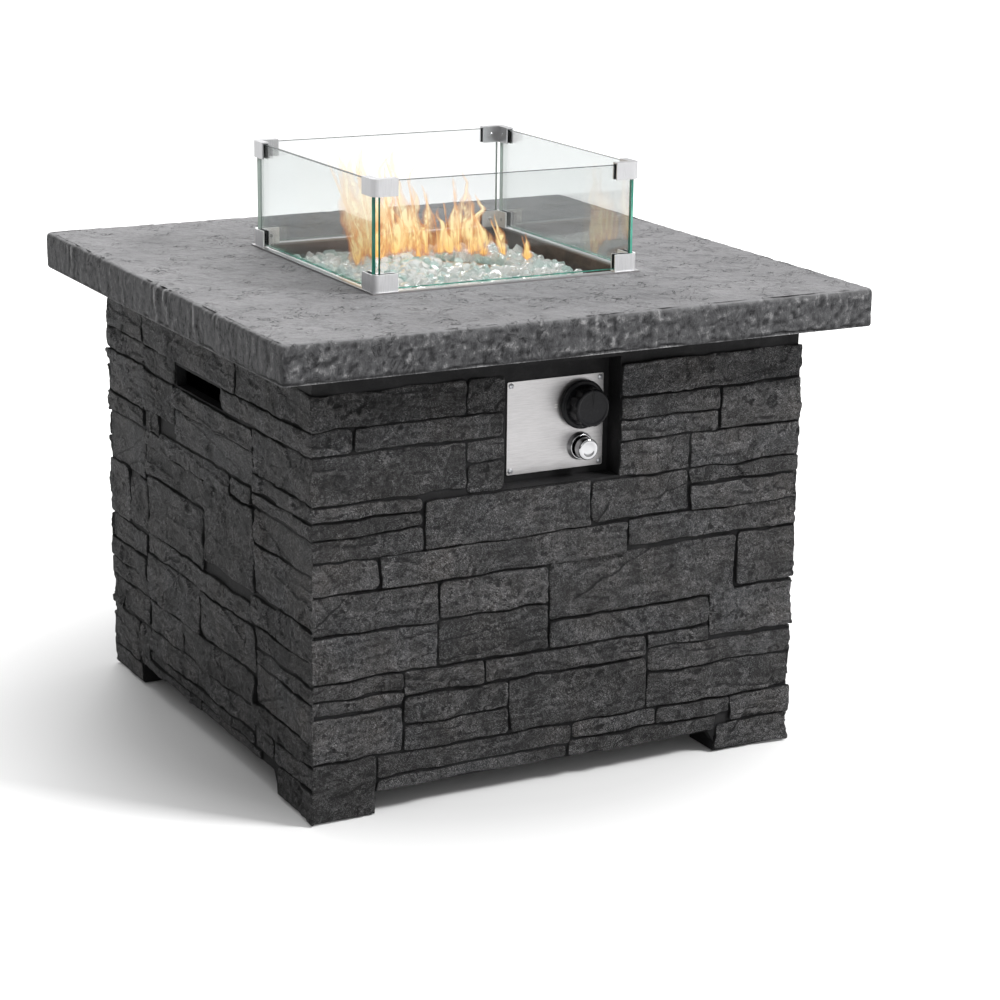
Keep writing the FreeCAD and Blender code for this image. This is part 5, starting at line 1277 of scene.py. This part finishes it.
# Tongues of flame: x, y, height, half width, and how far the tip leans in x and y.
FLAMES = (
    (-66, 104, 155, 20, -40, 10), (-42, 112, 155, 24, -24, 2), (-54, 96, 146, 30, -10, 8),
    (-70, 110, 140, 18, -20, 4), (-30, 104, 140, 17, 6, 6), (8, 112, 152, 15, -32, 0),
    (22, 106, 124, 16, -14, 2), (30, 98, 100, 14, 4, 4), (74, 90, 118, 20, 0, 6),
    (86, 76, 86, 20, 6, 2), (96, 62, 62, 18, -2, 8), (116, 44, 60, 10, -10, 14),
    (134, 6, 40, 8, -6, 4), (-92, 62, 50, 13, -6, 8), (-78, 86, 66, 15, -4, 8),
    (-8, 108, 70, 15, -6, 6), (48, 100, 66, 15, 0, 6), (60, 92, 82, 14, -4, 4),
    (-20, 98, 92, 16, -8, 4), (-50, 90, 60, 18, 4, 4), (14, 98, 52, 16, 2, 4),
)


def flame_sheet(root, height, width, lean, turn, seed):
    """One tongue of flame: an upright ribbon that bellies out, narrows, sways and leans as it rises."""
    rows, columns = 44, 17
    up, across = np.meshgrid(np.linspace(0, 1, rows), np.linspace(-1, 1, columns), indexing="ij")
    taper = (0.4 + 0.8 * np.sin(np.clip(up * 1.4, 0, 1) * math.pi) ** 0.8) * (1 - up) ** 0.45
    spread = width * taper * (1 + 0.3 * rough(up * 5, across * 0 + seed, seed, 3))
    sway = width * 0.9 * up * rough(up * 2.6 + seed, across * 0, seed + 3, 3)
    bend = width * 0.4 * (1 - across**2) * (0.3 + up)
    offset = across * spread + sway
    x = root[0] + offset * math.cos(turn) - bend * math.sin(turn) + lean[0] * up**1.3
    y = root[1] + offset * math.sin(turn) + bend * math.cos(turn) + lean[1] * up**1.3
    z = root[2] + height * up
    heart = (1 - np.abs(across) ** 1.3) * eased(up * 8 + 0.2) * (1 - up**5.0)
    level = np.clip((z - BED_LEVEL) / FLAME_HEIGHT, 0, 1)
    marks = np.stack([np.clip(heart, 0, 1), level, up * 0], axis=-1)
    return np.stack([x, y, z], axis=-1), grid_faces(rows, columns), marks


def build_flames():
    """Tongues of flame over the burner, tallest at the rear left, each of two crossing ribbons."""
    chance = np.random.default_rng(23)
    parts = []
    top = cad_box[1][2] / MM - 1.5
    for number, (x, y, height, width, *lean) in enumerate(FLAMES):
        start = float(bed_level(np.array(float(x)), np.array(float(y)))) - 2
        height = min(height, top - start)
        for turn in range(2):
            angle = -0.5 + 1.7 * turn + 0.5 * (chance.random() - 0.5)
            tall, wide = height * (1 - 0.1 * turn), width * (1 - 0.25 * turn)
            parts.append(flame_sheet((x, y, start), tall, wide, lean, angle, number * 5 + turn))
    add_piece("flames", merged(parts), "flame", "table", sharp=180.0)


def build_guard_screws():
    """Small set screws on the inner legs of the corner brackets."""
    parts = []
    radius, height, inner_face, spots = 2.6, 1.3, 177.4, (-166.0, 166.0)
    for level in ("lower", "upper"):
        low, high = extent(f"guard_bracket_{level}_front_left")
        for turn in range(4):
            for spot in spots:
                at = (spot, inner_face, (low[2] + high[2]) / 2)
                points, faces = outward(screw_head(radius, height, turn), at)
                quarter = np.array(Matrix.Rotation(math.radians(90 * turn), 3, "Z"))
                parts.append((points @ quarter.T, faces))
    add_piece("guard_set_screws", merged(parts), "zinc", "wind_guard", sharp=30.0)


def soften(node, width, segments=2):
    """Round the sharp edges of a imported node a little, without changing its own mesh."""
    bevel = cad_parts[node].modifiers.new("soft_edges", "BEVEL")
    bevel.width = width * MM
    bevel.segments = segments
    bevel.limit_method = "ANGLE"
    bevel.angle_limit = math.radians(40)
    bevel.harden_normals = True


NODE_FINISHES = {
    "panel_steel": ("control_panel",),
    "heated_steel": ("burner_pan", "sensor_bracket", "heat_shield"),
    "zinc": (
        "top_bolts", "valve_screws", "door_pull_screws", "burner_locknut", "door_magnet", "door_strike",
        "valve_stem", "valve_plunger", "thermocouple",
    ),
    "galvanised": ("bottle_tray",),
    "black_metal": ("door_hinge_frames", "door_hinge_leaves", "door_pull"),
    "brass": ("gas_inlet_fitting", "jet_elbow", "valve_elbow", "pipe_nuts", "top_inserts", "air_mixer"),
    "aluminium": ("gas_pipe", "gas_valve"),
    "body_plastic": ("igniter_body", "igniter_nut"),
    "ceramic": ("spark_electrode",),
    "rubber": ("foot_pads", "guard_gaskets"),
}


def dress_nodes():
    """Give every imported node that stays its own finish."""
    brackets = [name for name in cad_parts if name.startswith("guard_bracket")]
    lower = [name for name in brackets if "lower" in name]
    upper = [name for name in brackets if "upper" in name]
    finishes = {**NODE_FINISHES, "bracket_steel": upper, "lower_bracket_steel": lower}
    for finish, names in finishes.items():
        for name in names:
            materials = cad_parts[name].data.materials
            materials.clear()
            materials.append(FINISHES[finish])
    for name in brackets:
        soften(name, 0.5)
    for name in ("control_panel", "burner_pan", "door_pull", "bottle_tray", "heat_shield"):
        soften(name, 0.25, 1)


def build_floor():
    """Pale studio floor, which isn't part of the table; it glows a little away from the table."""
    mesh = bpy.data.meshes.new("studio_floor")
    reach = 60.0
    corners = [(-reach, -reach, 0), (reach, -reach, 0), (reach, reach, 0), (-reach, reach, 0)]
    mesh.from_pydata(corners, [], [(0, 1, 2, 3)])
    f = Finish("studio_floor")
    x, y, _ = f.axes()
    cloud = f.noise(f.place(), 0.8, 2.0)
    away = (x * x + y * y) ** 0.5
    f.set(Base_Color=f.ramp(cloud, (0.0, (0.6, 0.6, 0.6)), (1.0, (0.61, 0.61, 0.61))), Roughness=0.9)
    painted_glow = f.ramp(away * 0.1, (0.041, 0.01), (0.066, 0.42), (0.12, 0.55), (0.3, 0.62), (0.8, 0.7))
    f.set(Emission_Color=painted_glow, Emission_Strength=1.0, Specular_IOR_Level=0.2)
    mesh.materials.append(f.material)
    floor = bpy.data.objects.new("studio_floor", mesh)
    bpy.context.scene.collection.objects.link(floor)
    floor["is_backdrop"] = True


def add_softbox(name, place, aim, width, height, power):
    """Soft rectangular lamp at a place, turned to its aim."""
    light = bpy.data.lights.new(name, "AREA")
    light.shape = "RECTANGLE"
    light.size = width
    light.size_y = height
    light.energy = power
    lamp = bpy.data.objects.new(name, light)
    lamp.location = place
    lamp.rotation_euler = (Vector(aim) - Vector(place)).to_track_quat("-Z", "Y").to_euler()
    bpy.context.scene.collection.objects.link(lamp)


def build_lights():
    """Softboxes, and a white room that is dimmer on the left behind the camera."""
    world = bpy.data.worlds.new("studio")
    bpy.context.scene.world = world
    world.use_nodes = True
    room = Nodes(world.node_tree)
    where = room.node("ShaderNodeTexCoord", {}, output="Generated")
    bright_side = (0.72, 0.2, 0.66)
    dot = {"operation": "DOT_PRODUCT"}
    toward = room.node("ShaderNodeVectorMath", dot, where, bright_side, output="Value")
    shade = room.node("ShaderNodeMapRange", {}, toward, -0.7, 0.8, 0.08, 0.95)
    light = room.tree.nodes["Background"].inputs
    room.feed(light["Color"], (1, 1, 1))
    room.feed(light["Strength"], shade)
    add_softbox("key_softbox", (3.9, -3.8, 5.1), (0, 0, 0.4), 1.76, 1.44, 670)
    add_softbox("fill_softbox", (-1.2, -3.4, 1.6), (0, 0, 0.4), 1.6, 1.2, 12)
    add_softbox("rear_softbox", (0.2, 3.0, 3.0), (0, 0, 0.6), 2.6, 1.2, 90)
    bpy.context.scene.view_settings.view_transform = "Standard"


def build_camera():
    """Camera at the photograph's place, worked out from the corners of the table in it."""
    yaw, pitch, roll = 0.491771, 0.272021, 0.012718
    place = Vector((-1.5880, -3.1365, 1.2661))
    focal_pixels, frame_pixels, sensor = 2707.716, 1000, 36.0
    level_reach = math.cos(pitch)
    forward = Vector((math.sin(yaw) * level_reach, math.cos(yaw) * level_reach, -math.sin(pitch)))
    right = forward.cross(Vector((0, 0, 1))).normalized()
    up = right.cross(forward)
    level_right = right * math.cos(roll) + up * math.sin(roll)
    level_up = up * math.cos(roll) - right * math.sin(roll)
    lens = bpy.data.cameras.new("camera")
    lens.sensor_width = sensor
    lens.lens = focal_pixels / frame_pixels * sensor
    camera = bpy.data.objects.new("camera", lens)
    turned = Matrix((level_right, level_up, -forward)).transposed().to_4x4()
    camera.matrix_world = Matrix.Translation(place) @ turned
    bpy.context.scene.collection.objects.link(camera)
    bpy.context.scene.camera = camera


for build in (
    build_camera, build_lights, build_floor, build_slab, build_base, build_base_inside, build_rear_door,
    build_panes, build_beads, build_burner, build_knob, build_igniter, build_panel_screws,
    build_panel_ticks, build_guard_screws, build_flames, dress_nodes,
):
    build()

visual_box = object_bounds()
boxes = {"cad": cad_box, "visual": visual_box}
{name: [list(low), list(high)] for name, (low, high) in boxes.items()}
